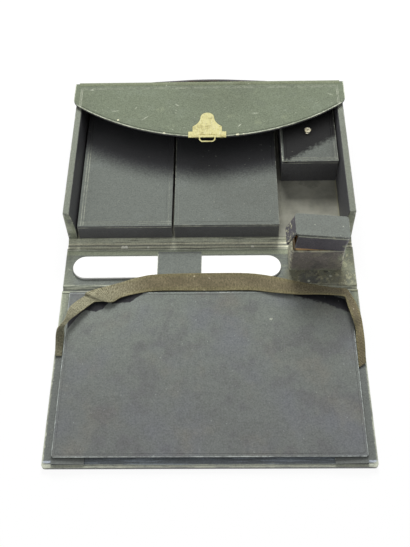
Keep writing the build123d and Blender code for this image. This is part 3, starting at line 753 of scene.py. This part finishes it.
class CASE_OT_boxes(bpy.types.Operator):
    """The stationery boxes, their tooled lids and the brass knob"""

    bl_idname = "case.boxes"
    bl_label = "Stationery boxes"

    def execute(self, context):
        c = colours()
        for kind, lines, wear, dust, rubbed, tone in (
            ("envelope_box", (3.6, 6.2), 0.4, 0.45, 0.12, 0.9),
            ("paper_box", (4.2,), 0.6, 0.12, 0.3, 0.9),
            ("corner_box", (3.0, 5.4), 0.8, 0.6, 0.25, 0.74),
        ):
            dress_in_leather(kind, 0.35, wear=0.8, scuffs=0.15)
            dress_in_leather(
                kind + "_lid", 0.6, lines, top=shade(c.faded_and_sheen, tone), side=shade(c.dark, 1.15), wear=wear,
                scuffs=0.25, rubbed=rubbed, gloss=0.6, tints=self.lid_tints(kind, lines, dust),
            )
        brass = brass_finish("brass_knob", blend_colours(c.brass, (1.0, 0.96, 0.85), 0.7))
        dress("corner_lid_knob", brass, 0.12, sharp=30)
        dress("knob_screw", steel_finish("steel_screw"), 0)
        return {"FINISHED"}

    def lid_tints(self, kind, lines, dust):
        """Dust in the lines along three sides, and the painted shadow of the flap over the lid's far part.
        """
        low, high = box(kind + "_lid")
        worn = colours().worn

        def off_front(f):
            """Keeps the lines of the sides away from the front edge."""
            return (f.y - low.y).span(2, 0) * 9

        # Near-black painted shadow of the flap over the lid's far part
        painted_shadow = (painted_flap_shadow(high.z, 0.92), (0.014, 0.0135, 0.017))
        # On the corner lid the painted shade reaches further forward, beyond a slanted line
        if kind == "corner_box":
            painted_shadow = (wedge(low.x + 3, -17, high.x + 2, 22, 5, 1.0), (0.003, 0.003, 0.003))
        return (
            (ruled(lambda f: f.x - low.x + off_front(f), lines, dust), worn),
            (ruled(lambda f: high.x - f.x + off_front(f), lines[:1], dust * 0.4), worn),
            (ruled(lambda f: f.y - low.y, lines, dust * 0.6), worn),
            painted_shadow,
        )


# Scuffed lines on the flap: x, y, length and turn
FLAP_SCUFFS = (
    (-135.5, 84.7, 7, 10), (-106.6, 50.3, 10, 4), (-72.0, 38.7, 14, 38), (-36.5, 58.7, 8, -28),
    (138.2, 73.6, 10, -30), (51.7, 44.6, 11, 3), (34.0, 26.0, 8, 50),
)

# Chipped places along the flap's arc: x, y and radius
FLAP_CHIPS = (
    (32.0, 11.9, 3.8), (-49.9, 15.4, 3.2), (-102.3, 36.1, 2.4), (119.4, 34.2, 2.2), (38.5, 12.6, 2.4),
)


class CASE_OT_flap(bpy.types.Operator):
    """The half-moon flap with its tooled border, and its hinge of leather"""

    bl_idname = "case.flap"
    bl_label = "Flap"

    border: length_setting("Border", "Distance of the tooled border from the edge", 7.2)
    gap: length_setting("Border gap", "Distance between the border's two lines", 1.6)

    def execute(self, context):
        self.board()
        lining = lining_finish("flap_lining_paper", colours().lining, 0.3)
        dress("flap_lining", lining, 0.2)
        self.hinge()
        return {"FINISHED"}

    def outline(self, bm, inset, level):
        """Drawn in from the straight sides by the inset. Along the arc the lines run close to the edge."""
        low, high = (Vector(corner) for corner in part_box("flap_board"))
        matrix = Matrix.Translation((0, low.y + FLAP_RADIUS * MM, level))
        close = 2.0 * MM + (inset - self.border) * 0.45
        made = bmesh.ops.create_circle(
            bm, cap_ends=True, radius=FLAP_RADIUS * MM - close, segments=540, matrix=matrix
        )
        verts = made["verts"]
        geometry = verts + verts[0].link_faces[:] + verts[0].link_faces[0].edges[:]
        for place, normal in (
            ((high.x - inset, 0, 0), (1, 0, 0)),
            ((low.x + inset, 0, 0), (-1, 0, 0)),
            ((0, high.y - inset, 0), (0, 1, 0)),
        ):
            cut = bmesh.ops.bisect_plane(
                bm, geom=geometry, plane_co=place, plane_no=normal, clear_outer=True
            )
            geometry = cut["geom"]
        return next(part for part in geometry if isinstance(part, bmesh.types.BMFace))

    def board(self):
        c = colours()
        low, high = box("flap_board")
        lines = (self.border / MM, (self.border + self.gap) / MM)

        def edge(f):
            along = f.y - (low.y + FLAP_RADIUS)
            inside = FLAP_RADIUS - (f.x * f.x + along * along).root()
            return inside.least(high.x - f.x.size()) + (high.z - f.z).most(0.0)

        def straight(f):
            return (high.x - f.x.size()).least(high.y - f.y)

        top, worn, cream = (0.155, 0.178, 0.127), shade(c.worn, 1.2), (0.72, 0.7, 0.5)
        tints = (
            (mottled(38.0, 0.5, 0.72, 0.4, 5.0, 0.65), blend_colours(top, c.dark, 0.4)),
            (mottled(64.0, 0.6, 0.75, 0.4, 4.0, 0.6), shade(c.green, 0.95)),
            (ruled(straight, lines, 0.5), c.worn),
            *((scratch(*scuff), worn) for scuff in FLAP_SCUFFS),
            *((blotch((x, y, high.z), radius, 1.0), cream) for x, y, radius in FLAP_CHIPS),
        )
        finish = leather(
            "flap_leather", top, c.dark, worn, edge=edge, wear=1.3, scuffs=0.35, rubbed=1.0, gloss=0.85,
            tints=tints,
        )
        dress("flap_board", matt(finish), 1.0, lines, self.outline)

    def hinge(self):
        """Leather from the flap down the outside of the back wall."""
        c = colours()
        board, strap = box("flap_board"), box("flap_hinge_leather")
        wall, crown = board[1].y + 0.42, board[1].z
        outline = (
            (wall, strap[0].z), (wall + 0.95, strap[0].z), (wall + 1.0, 44), (wall + 1.3, 47),
            (wall + 1.5, 48.8), (wall + 1.0, crown + 0.1), (wall - 0.4, crown + 0.45),
            (wall - 3.0, crown + 0.38), (wall - 4.3, crown + 0.06), (wall - 1.1, crown + 0.04),
            (wall - 0.1, crown - 0.6), (wall + 0.3, 48.8), (wall + 0.02, 47),
        )
        finish = leather(
            "flap_hinge_leather_worn", shade(c.green, 0.66), c.dark, c.worn, scuffs=0.5, gloss=0.85
        )
        piece = strip_along_x(
            "flap_hinge_strip", outline, strap[0].x, strap[1].x, matt(finish), "flap_hinge_leather"
        )
        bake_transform(piece)


class CASE_OT_hasp(bpy.types.Operator):
    """The brass hasp on the flap and the lock under the cover"""

    bl_idname = "case.hasp"
    bl_label = "Hasp and lock"

    def execute(self, context):
        brass = brass_finish("brass_hasp", colours().brass)
        steel = steel_finish("steel_pins")
        dress("hasp_plate", brass, 0.22)
        dress("hasp_tacks", brass, 0.15, sharp=50)
        dress("hasp_staple", brass, 0.1, sharp=50)
        dress("hasp_hinge_pin", steel, 0)
        dress("lock_plate", brass, 0.1)
        dress("lock_catch", brass, 0.15)
        dress("lock_tacks", steel, 0)
        return {"FINISHED"}


class CASE_OT_handle(bpy.types.Operator):
    """The stitched leather handle behind the tray"""

    bl_idname = "case.handle"
    bl_label = "Handle"

    pitch: length_setting("Stitch pitch", "Distance from one stitch to the next", 3.2)
    margin: length_setting("Stitch margin", "Distance of the stitching from the strap's edges", 2.2)

    def execute(self, context):
        c = colours()
        tan = (0.22, 0.13, 0.06)
        strap = leather("handle_leather", shade(c.dark, 0.9), shade(c.dark, 0.8), tan, scuffs=0.7)
        dress("handle_strap", strap, 0.9)
        dress_in_leather("handle_plates", 0.35, wear=1.0)
        dress("handle_studs", brass_finish("brass_studs", c.brass), 0.2, sharp=50)
        self.stitches()
        return {"FINISHED"}

    def stitches(self):
        """Thread along both edges of the strap's outer face."""
        low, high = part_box("handle_strap")
        strap = copied("handle_strap")
        surface = BVHTree.FromBMesh(strap)
        strap.free()
        bm = bmesh.new()
        up = Vector((0, 0, 1))
        behind = high[1] + 10 * MM
        stitch = Matrix.Diagonal((1.1 * MM, 0.38 * MM, 0.3 * MM, 1))
        count = int((high[0] - low[0] - 2 * self.margin) / self.pitch)
        for level in (low[2] + self.margin, high[2] - self.margin):
            for i in range(count + 1):
                start = Vector((low[0] + self.margin + i * self.pitch, behind, level))
                place, normal, _, _ = surface.ray_cast(start, Vector((0, -1, 0)))
                if not place:
                    continue
                turn = Matrix((normal.cross(up).normalized(), up, normal)).transposed().to_4x4()
                matrix = Matrix.Translation(place) @ turn @ stitch
                bmesh.ops.create_icosphere(bm, subdivisions=1, radius=1.0, matrix=matrix)
        f = Finish("handle_thread")
        twist = f.noise(1200.0, 2.0)
        tone = f.mix(twist.span(0.3, 0.7), (0.12, 0.11, 0.08), (0.3, 0.27, 0.2))
        thread = f.set(base_color=tone, roughness=0.85, normal=f.bump(twist, 0.4, 0.1))
        finished("handle_stitches", bm, thread, "tray", slot="webbing", sharp=60)


# Bare spots on the fold between tray and spine: x and radius
FOLD_CHIPS = ((-93.0, 3.8), (-89.8, 3.8), (-66.0, 2.4), (46.0, 3.0))


class CASE_OT_spine(bpy.types.Operator):
    """The spine, its folds of leather, the paper knife and the loop that holds it"""

    bl_idname = "case.spine"
    bl_label = "Spine"

    def execute(self, context):
        c = colours()
        self.board()
        self.far_fold()
        self.near_fold()
        dress("paper_knife", bone_finish("polished_bone", c.bone), 0.3, sharp=25)
        dress_in_leather("knife_loop", 0.45, top=shade(c.faded_and_sheen, 0.95), wear=0.9, scuffs=0.3)
        return {"FINISHED"}

    def soiled(self):
        """Dirt and bare places round the ink box, and the paler leather at both sides."""
        spots = (
            (70, 92, 55.0, 0.35, 0.6, 0.75, (0.195, 0.185, 0.11)),
            (74, 90, 170.0, 0.46, 0.36, 0.75, (0.045, 0.045, 0.04)),
            (76, 94, 150.0, 0.53, 0.62, 0.8, (0.44, 0.43, 0.28)),
        )
        sides = margin(box("spine_board")[1].x, 18, 0.85)
        return (
            *(
                (above(both(toward(X, start, end), mottled(*grain))), tone)
                for start, end, *grain, tone in spots
            ),
            (above(sides), (0.35, 0.375, 0.262)),
        )

    def lined(self):
        """Fine lines along the folds."""
        c = colours()
        return (
            (above(streaks(0.5, 0.4, 0.7)), shade(c.dark, 0.7)),
            (above(streaks(0.51, 0.58, 0.9)), blend_colours(c.green, c.worn, 0.85)),
        )

    def board(self):
        c = colours()
        pale_green = blend_colours(c.green, c.worn, 0.25)
        tints = (
            (above(streaks(0.52, 0.68, 0.4)), pale_green),
            *self.soiled(),
            (above(crease(-114.5, 4.4, 0.8)), blend_colours(c.green, c.worn, 0.12)),
            # A dark patch just in front of the ink box: painted shadow of the ink box
            (above(blotch((104, -148.5, 4), 24, 0.6)), shade(c.dark, 0.8)),
            (above(blotch((142, -132, 4), 18, 0.35)), pale_green),
            (blotch((103, -152.2, 4), 3, 0.9), c.worn),
            (blotch((126, -146, 4), 3, 0.9), c.worn),
            (above(crease(-155.6, 1.1, 0.8, 0.45)), c.worn),
        )
        dress_in_leather("spine_board", 0.9, wear=1.2, scuffs=0.5, tints=tints)

    def fold(self, name, outline, finish, replaced, ripple):
        """A strip as wide as the spine, less a little at each end."""
        low, high = box("spine_board")
        return strip_along_x(name, outline, low.x + 0.3, high.x - 0.3, finish, replaced, ripple)

    def far_fold(self):
        """Leather from the tray down to the table and up onto the spine."""
        c = colours()
        # bare is whiter than bare leather: painted light on the chips in the boxes' shade
        dark, cream, bare = shade(c.dark, 0.8), (0.75, 0.74, 0.56), (1.0, 1.0, 0.86)
        # Creases: place, width, amount, gaps and tone. The pale ones are worn, made paler with painted
        # light; the dark ones are painted shade in the creases
        creases = (
            (-98.6, 0.5, 0.8, 0.3, c.worn), (-101.4, 1.5, 0.9, 0.3, cream), (-103.8, 0.7, 0.7, 0.3, dark),
            (-106.5, 2.8, 0.9, 0.25, blend_colours(c.worn, cream, 0.6)), (-109.3, 0.7, 0.75, 0.35, dark),
            (-111.3, 1.2, 0.7, 0.35, c.worn), (-113.0, 0.8, 0.6, 0.4, dark),
        )
        tints = (
            # Painted light: the far part of the fold is paler, against the shade of the boxes
            (toward(Y, -112.5, -109, 0.95), (0.5, 0.52, 0.39)),
            *self.lined(),
            *self.soiled(),
            *((crease(*row), tone) for *row, tone in creases),
            *((chip((x, -106, 2), radius), bare) for x, radius in FOLD_CHIPS),
        )
        # The fold's tone is raised above the margin leather's: painted light against the boxes' shade
        finish = leather("spine_fold_worn_painted_light", shade(c.green, 1.4), c.dark, c.worn, scuffs=1.0, tints=tints)
        edge, lining = box("tray_floor")[0].y, box("tray_lining")[1].z
        far, top = box("spine_board")[1].yz
        outline = (
            (edge + 0.3, lining - 0.37), (edge + 0.3, lining - 0.02), (edge - 1.2, lining - 0.15),
            (edge - 3.6, 2.7), (edge - 6.2, 2.1), (edge - 8.2, 2.5), (edge - 9.0, 2.0), (edge - 11.0, 1.7),
            (far + 0.8, 2.1), (far + 0.15, 3.4), (far - 0.7, top + 0.28), (far - 2.4, top + 0.3),
            (far - 2.8, top + 0.03), (far - 0.9, top + 0.02), (far + 0.05, 3.0), (far + 0.05, 0.02),
            (edge - 0.03, 0.02), (edge - 0.03, lining - 0.38),
        )
        piece = self.fold("spine_fold_leather", outline, finish, "spine_hinge_leather", 0.5)
        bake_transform(piece)

    def near_fold(self):
        """Leather from the spine down to the table and up onto the cover."""
        c = colours()
        tints = (
            *self.lined(),
            *self.soiled(),
            (crease(-158.6, 0.8, 0.9, 0.42), c.worn),
            # Painted shade in the crease between the two worn ones
            (crease(-160.4, 0.8, 0.7), shade(c.dark, 0.6)),
            (crease(-162.3, 0.7, 0.8, 0.45), c.worn),
        )
        tone = blend_colours(c.faded_and_sheen, c.green, 0.3)
        finish = leather("cover_fold_worn", tone, c.dark, c.worn, scuffs=0.9, tints=tints)
        near, top, cover_far = box("spine_board")[0].y, box("spine_board")[1].z, box("cover_board")[1].y
        outline = (
            (near + 2.2, top + 0.02), (near + 2.2, top + 0.28), (near + 0.3, top + 0.22), (near - 0.5, 3.4),
            (near - 1.6, 2.2), (near - 3.2, 2.0), (cover_far + 0.5, 2.4), (cover_far - 0.2, 3.7),
            (cover_far - 0.9, top + 0.3), (cover_far - 2.6, top + 0.3), (cover_far - 2.6, top + 0.02),
            (cover_far - 0.9, top + 0.02), (cover_far + 0.05, 3.0), (cover_far + 0.05, 0.02),
            (near - 0.05, 0.02), (near - 0.05, 3.2), (near + 0.7, top + 0.02),
        )
        piece = self.fold("cover_fold_leather", outline, finish, "cover_hinge_leather", 0.45)
        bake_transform(piece)


class CASE_OT_ink_box(bpy.types.Operator):
    """The ink box, its raw sleeve, the bottle and the lid that stands ajar"""

    bl_idname = "case.ink_box"
    bl_label = "Ink box"

    ajar: FloatProperty(name="Ajar", description="How far the lid stands open, in degrees", default=7.0)

    def execute(self, context):
        c = colours()
        green, cream = blend_colours(c.green, c.worn, 0.2), (0.62, 0.61, 0.42)
        self.body(green, cream)
        self.lid(green, cream)
        sleeve = box("ink_box_sleeve")[0].x
        soiled = (toward(X, sleeve + 3.2, sleeve + 1.2, 0.9), (0.12, 0.1, 0.065))
        dress("ink_box_sleeve", board_finish("raw_board", c.board, (soiled,)), 0.2)
        dress("ink_bottle", glass_finish("bottle_glass"), 0.3)
        dress("ink_bottle_cap", brass_finish("brass_cap", c.brass), 0.15)
        return {"FINISHED"}

    def body(self, green, cream):
        c = colours()
        low, high = box("ink_box")
        tints = (
            (both(toward(Z, low.z + 7, low.z), mottled(120.0, 0.3, 0.6, 0.8, 4.0, 0.55)), green),
            (blotch((high.x, low.y, 26), 14, 0.8), green),
            (blotch((low.x, low.y, 6), 6, 0.7), c.worn),
            (mottled(110.0, 0.5, 0.66, 0.55), (0.27, 0.265, 0.2)),
            (mottled(75.0, 0.5, 0.36, 0.45), c.dark),
            (both(toward(X, low.x + 3, low.x), mottled(330.0, 0.44, 0.56, 0.9, 4.0)), cream),
            (both(toward(X, high.x - 6, high.x), mottled(260.0, 0.46, 0.6, 0.8, 4.0)), cream),
            (both(toward(Z, high.z - 2, high.z), mottled(150.0, 0.4, 0.55, 0.8, 3.0, 0.55)), cream),
        )
        brown = blend_colours(c.dark, (0.26, 0.235, 0.21), 0.8)
        dress_in_leather("ink_box", 0.6, top=brown, side=brown, wear=0.8, rubbed=0.9, tints=tints)

    def lid(self, green, cream):
        c = colours()
        box_left = box("ink_box")[0].x
        low, high = box("ink_box_lid")
        rise = math.tan(math.radians(self.ajar))

        def depth(f):
            """Distance below the tilted top."""
            return high.z - (f.x - (box_left - 1)).most(0.0) * rise - f.z

        front = facing(Y, -1)
        left_end = both(toward(X, box_left + 4, box_left), mottled(300.0, 0.52, 0.64, 0.9, 4.0))
        specks = both(front, mottled(420.0, 0.58, 0.7, 0.8, 4.0))
        tints = (
            (lambda f: front(f) * depth(f).span(3.4, 3.0) * 0.85, c.faded_and_sheen),
            (lambda f: front(f) * (depth(f) - 3.2).size().span(0.8, 0.3) * 0.9, c.worn),
            (blotch((high.x, low.y, 46), 12, 0.75), green),
            (lambda f: left_end(f) * depth(f).span(1.2, 2.0), cream),
            (lambda f: specks(f) * depth(f).span(8, 3), cream),
        )
        finish = leather(
            "ink_lid_leather", shade(c.faded_and_sheen, 1.08), blend_colours(c.dark, (0.115, 0.105, 0.125), 0.6),
            (0.78, 0.78, 0.66), rubbed=1.0, tints=tints, scuffs=0.6,
        )
        dress("ink_box_lid", finish, 0.9)


class CASE_OT_cover(bpy.types.Operator):
    """The cover and its letter pocket with folded gussets"""

    bl_idname = "case.cover"
    bl_label = "Cover and pocket"

    def execute(self, context):
        c = colours()
        thin = blend_colours(c.dark, c.faded_and_sheen, 0.6)
        self.board()
        bluish = blend_colours(thin, (0.15, 0.175, 0.2), 0.6)
        # Pale bluish streaks on the pocket's back: creases with painted reflection
        creases_and_reflections = (streaks(0.49, 0.6, 0.6), (0.34, 0.39, 0.44))
        dress_in_leather("pocket_back", 0.2, top=bluish, wear=0.8, tints=(creases_and_reflections,))
        dress_in_leather("pocket_fold", 0.2, top=thin, wear=0.5)
        self.front()
        self.gussets(thin)
        return {"FINISHED"}

    def board(self):
        c = colours()
        low, high = box("cover_board")
        pale_green = blend_colours(c.green, c.worn, 0.25)
        tints = (
            (margin(high.x, 13, 0.9, -250, -175), pale_green),
            (margin(high.x, 3.0, 0.6), pale_green),
            # Pale lines along the near edge: worn creases with painted reflection, bluish in the second
            (above(crease(low.y + 2.0, 1.8, 0.85, 0.35)), c.worn),
            (above(crease(low.y + 5.4, 1.6, 0.85, 0.38)), (0.42, 0.46, 0.52)),
            (blotch((low.x, low.y, high.z), 10, 0.7), c.worn),
            (blotch((high.x, low.y, high.z), 10, 0.7), c.worn),
        )
        top = blend_colours(c.faded_and_sheen, c.dark, 0.35)
        dress_in_leather("cover_board", 0.9, top=top, wear=1.8, scuffs=0.6, rubbed=0.9, tints=tints)

    def front(self):
        c = colours()
        # Near-black painted shadow that the raised band casts on the pocket's far edge
        painted_shadow = (0.006, 0.0055, 0.009)
        tints = (
            (blotch((61.5, -201, 9.6), 3.4, 0.5), c.worn),
            # Paler toward the pocket's top left: painted sheen
            (both(toward(X, 0, -130), toward(Y, -280, -180, 0.7)), shade(c.faded_and_sheen, 1.25)),
            (toward(Y, -190, -330, 0.5), (0.098, 0.1, 0.104)),
            (mottled(17.0, 0.45, 0.7, 0.5, 3.0, 0.55), (0.125, 0.13, 0.15)),
            (mottled(21.0, 0.5, 0.72, 0.55, 4.0, 0.6), (0.155, 0.15, 0.127)),
            (mottled(33.0, 0.5, 0.36, 0.4, 5.0, 0.65), (0.088, 0.084, 0.092)),
            *((wedge(*border, reach=13.0), painted_shadow) for border in BAND_SHADOW_BORDERS),
        )
        dress_in_leather(
            "pocket_front", 0.6, (3.0,), wear=0.9, scuffs=0.25, rubbed=1.0, worn=(0.56, 0.61, 0.58),
            tints=tints,
        )

    def gussets(self, tone):
        """Folded sides of the pocket, which open when its front is lifted."""
        thick, cuts = 0.7, 24
        for side, node in ((-1, "pocket_left_gusset"), (1, "pocket_right_gusset")):
            low, high = box(node)
            outer, inner = (high.x, low.x) if side > 0 else (low.x, high.x)
            middle = (low.z + high.z) / 2
            outline = [
                (x, low.y, z) for x, z in (
                    (outer, low.z), (inner, middle - thick * 0.5), (inner, middle + thick * 0.5),
                    (outer, high.z), (outer, high.z - thick), (inner + side * 4, middle),
                    (outer, low.z + thick),
                )
            ]
            bm = drawn_out(outline, (0, (high.y - low.y) / cuts, 0), cuts)
            finish = leather(node + "_skiver", tone, shade(tone, 0.7), colours().worn, scuffs=0.4)
            piece = finished(node + "_folded", bm, finish, None, replaces=(node,))
            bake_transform(piece)


# The number of faces across the band
BAND_FACES = 8

# Stations of the band from left to right: its outer edge, then its inner edge
BAND_STATIONS = (
    ((-151.4, -239.0, 5.6), (-145.2, -239.0, 5.0)), ((-151.7, -233.0, 7.0), (-144.9, -231.5, 5.6)),
    ((-151.7, -226.0, 9.0), (-144.6, -223.5, 6.8)), ((-151.4, -220.5, 12.0), (-144.2, -217.5, 8.4)),
    ((-148.8, -218.6, 20.4), (-144.2, -213.2, 13.2)), ((-147.0, -215.0, 22.0), (-141.5, -213.4, 20.1)),
    ((-142.0, -207.0, 22.0), (-138.0, -206.6, 18.7)), ((-139.8, -193.0, 20.0), (-131.0, -197.8, 16.8)),
    ((-133.5, -183.5, 17.5), (-123.5, -189.4, 15.1)), ((-128.2, -177.0, 14.8), (-116.5, -182.2, 13.6)),
    ((-126.6, -175.0, 13.8), (-111.5, -181.7, 13.5)), ((-125.6, -172.6, 15.6), (-105.0, -182.4, 14.2)),
    ((-117.0, -167.6, 14.2), (-101.5, -182.8, 14.4)), ((-102.0, -161.0, 11.4), (-96.5, -181.5, 13.6)),
    ((-91.5, -156.5, 10.0), (-89.0, -176.0, 12.8)), ((-72.0, -149.0, 9.0), (-71.5, -170.0, 11.2)),
    ((-51.5, -146.0, 9.2), (-50.5, -166.0, 9.2)), ((0.0, -145.0, 9.2), (0.0, -166.0, 8.6)),
    ((41.0, -145.5, 9.0), (41.5, -166.6, 9.8)), ((68.0, -150.0, 8.8), (65.5, -171.0, 12.0)),
    ((90.0, -155.5, 8.6), (88.0, -174.0, 13.4)), ((113.5, -161.0, 8.4), (110.0, -177.0, 18.0)),
    ((131.5, -165.0, 9.8), (129.0, -179.5, 20.0)), ((139.5, -167.5, 11.8), (135.5, -181.6, 20.2)),
    ((143.0, -172.0, 11.0), (137.0, -183.0, 19.0)), ((148.0, -184.0, 10.6), (139.0, -192.0, 16.4)),
    ((151.0, -198.0, 11.0), (141.5, -205.6, 18.5)), ((151.7, -211.0, 11.5), (144.2, -213.0, 11.8)),
    ((151.7, -225.0, 12.0), (143.9, -225.5, 9.8)), ((151.7, -239.0, 9.0), (144.3, -240.5, 7.0)),
    ((151.5, -249.0, 5.4), (144.3, -253.5, 5.2)),
)


class CASE_OT_band(bpy.types.Operator):
    """The slack woven band over the fold and the pocket's corners"""

    bl_idname = "case.band"
    bl_label = "Retaining band"

    thickness: length_setting("Band thickness", "Thickness of the webbing", 1.0)

    def execute(self, context):
        outer, inner = (smooth_line([Vector(p) * MM for p in side]) for side in zip(*BAND_STATIONS))
        middles = [(a + b) / 2 for a, b in zip(outer, inner)]
        run = 0.0
        lengths = [run]
        for last, middle in zip(middles, middles[1:]):
            run += (middle - last).length
            lengths.append(run)
        bm = bmesh.new()
        uv = bm.loops.layers.uv.new("UVMap")
        steps = [k / BAND_FACES for k in range(BAND_FACES + 1)]
        rows = [[bm.verts.new(a.lerp(b, step)) for step in steps] for a, b in zip(outer, inner)]
        for i in range(len(rows) - 1):
            for k in range(BAND_FACES):
                corners = ((i, k), (i, k + 1), (i + 1, k + 1), (i + 1, k))
                face = bm.faces.new([rows[row][column] for row, column in corners])
                for loop, (row, column) in zip(face.loops, corners):
                    loop[uv].uv = (lengths[row], steps[column])
        area = sum(f.calc_area() for f in bm.faces)
        bmesh.ops.recalc_face_normals(bm, faces=bm.faces)
        bmesh.ops.solidify(bm, geom=bm.faces[:], thickness=self.thickness)
        bmesh.ops.translate(bm, verts=bm.verts, vec=(0, 0, self.thickness / 2))
        finish = webbing_finish("woven_webbing", colours().webbing)
        piece = finished("retaining_band_woven", bm, finish, None, replaces=("retaining_band",), sharp=60)
        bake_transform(piece)
        return {"FINISHED"}


# Where the photograph was taken from, in millimetres and degrees, and the camera's frame and lens
CAMERA_PLACE = (11.2, -626.1, 716.4)
CAMERA_DOWN, CAMERA_TURN, CAMERA_ROLL = 55.774, -1.885, -1.995
FRAME_HEIGHT, LENS = 36.0, 54.2

# Each lamp's name, place, size and power, and the place that both shine at, all in metres and watts
LAMPS = (
    ("key_lamp", (0.0, 1.62, 1.42), 0.9, 74.0),
    ("front_lamp", (-0.7, -1.5, 1.2), 1.6, 5.0),
)
LIT_PLACE = (0, -0.12, 0)

WHITE = (1.0, 1.0, 1.0, 1.0)
SKY_STRENGTH = 0.36
FLOOR_GREY = (0.9, 0.9, 0.9, 1.0)
FLOOR_PLAIN_SHARE = 0.93


class CASE_OT_stage(bpy.types.Operator):
    """Floor, light and camera"""

    bl_idname = "case.stage"
    bl_label = "Stage"

    def execute(self, context):
        self.floor()
        self.world(context.scene)
        for lamp in LAMPS:
            self.lamp(*lamp)
        self.camera(context.scene)
        context.scene.view_settings.view_transform = "Standard"
        return {"FINISHED"}

    def plain_white(self, nodes, output, lit, plain, share):
        """Shows a share of plain white to the camera, to reflections and through glass."""
        path = nodes.add("ShaderNodeLightPath", {}, {}).link.node
        camera, glossy, through = (
            Value(nodes, path.outputs[f"Is {kind} Ray"]) for kind in ("Camera", "Glossy", "Transmission")
        )
        shown = camera.most(glossy).most(through) * share
        mix = nodes.add("ShaderNodeMixShader", {}, {0: shown, 1: lit, 2: plain})
        nodes.tree.links.new(mix.link, nodes.tree.nodes[output].inputs["Surface"])

    def floor(self):
        bm = bmesh.new()
        bmesh.ops.create_grid(bm, x_segments=1, y_segments=1, size=8.0)
        bmesh.ops.translate(bm, verts=bm.verts, vec=(0, 0, -0.1 * MM))
        mesh = bpy.data.meshes.new("floor")
        bm.to_mesh(mesh)
        bm.free()
        material = bpy.data.materials.new("white_floor")
        material.use_nodes = True
        nodes = Nodes(material.node_tree)
        paper = nodes.add("ShaderNodeBsdfDiffuse", {}, {"Color": FLOOR_GREY})
        plain = nodes.add("ShaderNodeEmission", {}, {})
        self.plain_white(nodes, "Material Output", paper, plain, FLOOR_PLAIN_SHARE)
        mesh.materials.append(material)
        floor = bpy.data.objects.new("floor", mesh)
        bpy.context.scene.collection.objects.link(floor)

    def world(self, scene):
        world = bpy.data.worlds.new("studio")
        world.use_nodes = True
        nodes = Nodes(world.node_tree)
        soft = nodes.add("ShaderNodeBackground", {}, {"Color": WHITE, "Strength": SKY_STRENGTH})
        plain = nodes.add("ShaderNodeBackground", {}, {"Color": WHITE})
        self.plain_white(nodes, "World Output", soft, plain, 1.0)
        scene.world = world

    def lamp(self, name, place, size, power):
        data = bpy.data.lights.new(name, "AREA")
        data.size = size
        data.energy = power
        lamp = bpy.data.objects.new(name, data)
        lamp.location = place
        aim = Vector(LIT_PLACE) - Vector(place)
        lamp.rotation_euler = aim.to_track_quat("-Z", "Y").to_euler()
        lamp.visible_glossy = False
        bpy.context.scene.collection.objects.link(lamp)

    def camera(self, scene):
        down, turn, roll = (math.radians(a) for a in (CAMERA_DOWN, CAMERA_TURN, CAMERA_ROLL))
        data = bpy.data.cameras.new("camera")
        data.sensor_fit = "VERTICAL"
        data.sensor_height = FRAME_HEIGHT
        data.lens = LENS
        camera = bpy.data.objects.new("camera", data)
        camera.matrix_world = (
            Matrix.Translation(Vector(CAMERA_PLACE) * MM) @ Matrix.Rotation(-turn, 4, "Z")
            @ Matrix.Rotation(math.pi / 2 - down, 4, "X") @ Matrix.Rotation(roll, 4, "Z")
        )
        scene.collection.objects.link(camera)
        scene.camera = camera


class CASE_PT_panel(bpy.types.Panel):
    """Lists the steps and the settings"""

    bl_idname = "CASE_PT_panel"
    bl_label = "Writing case"
    bl_space_type = "VIEW_3D"
    bl_region_type = "UI"
    bl_category = "Writing case"

    def draw(self, context):
        layout = self.layout
        for group in (context.scene.case_colours, context.scene.case_sizes):
            column = layout.column()
            for name in group.__annotations__:
                column.prop(group, name)
        for step in STEPS:
            layout.operator(step.bl_idname)


STEPS = (
    CASE_OT_stage, CASE_OT_band, CASE_OT_tray, CASE_OT_boxes, CASE_OT_flap, CASE_OT_hasp,
    CASE_OT_handle, CASE_OT_spine, CASE_OT_ink_box, CASE_OT_cover,
)
CLASSES = (CaseColours, CaseSizes, *STEPS, CASE_PT_panel)


def register():
    for kind in CLASSES:
        bpy.utils.register_class(kind)
    bpy.types.Scene.case_colours = PointerProperty(type=CaseColours)
    bpy.types.Scene.case_sizes = PointerProperty(type=CaseSizes)


def unregister():
    del bpy.types.Scene.case_colours
    del bpy.types.Scene.case_sizes
    for kind in reversed(CLASSES):
        bpy.utils.unregister_class(kind)


def main():
    register()
    for step in STEPS:
        area, name = step.bl_idname.split(".")
        getattr(getattr(bpy.ops, area), name)()


if __name__ == "__main__":
    main()
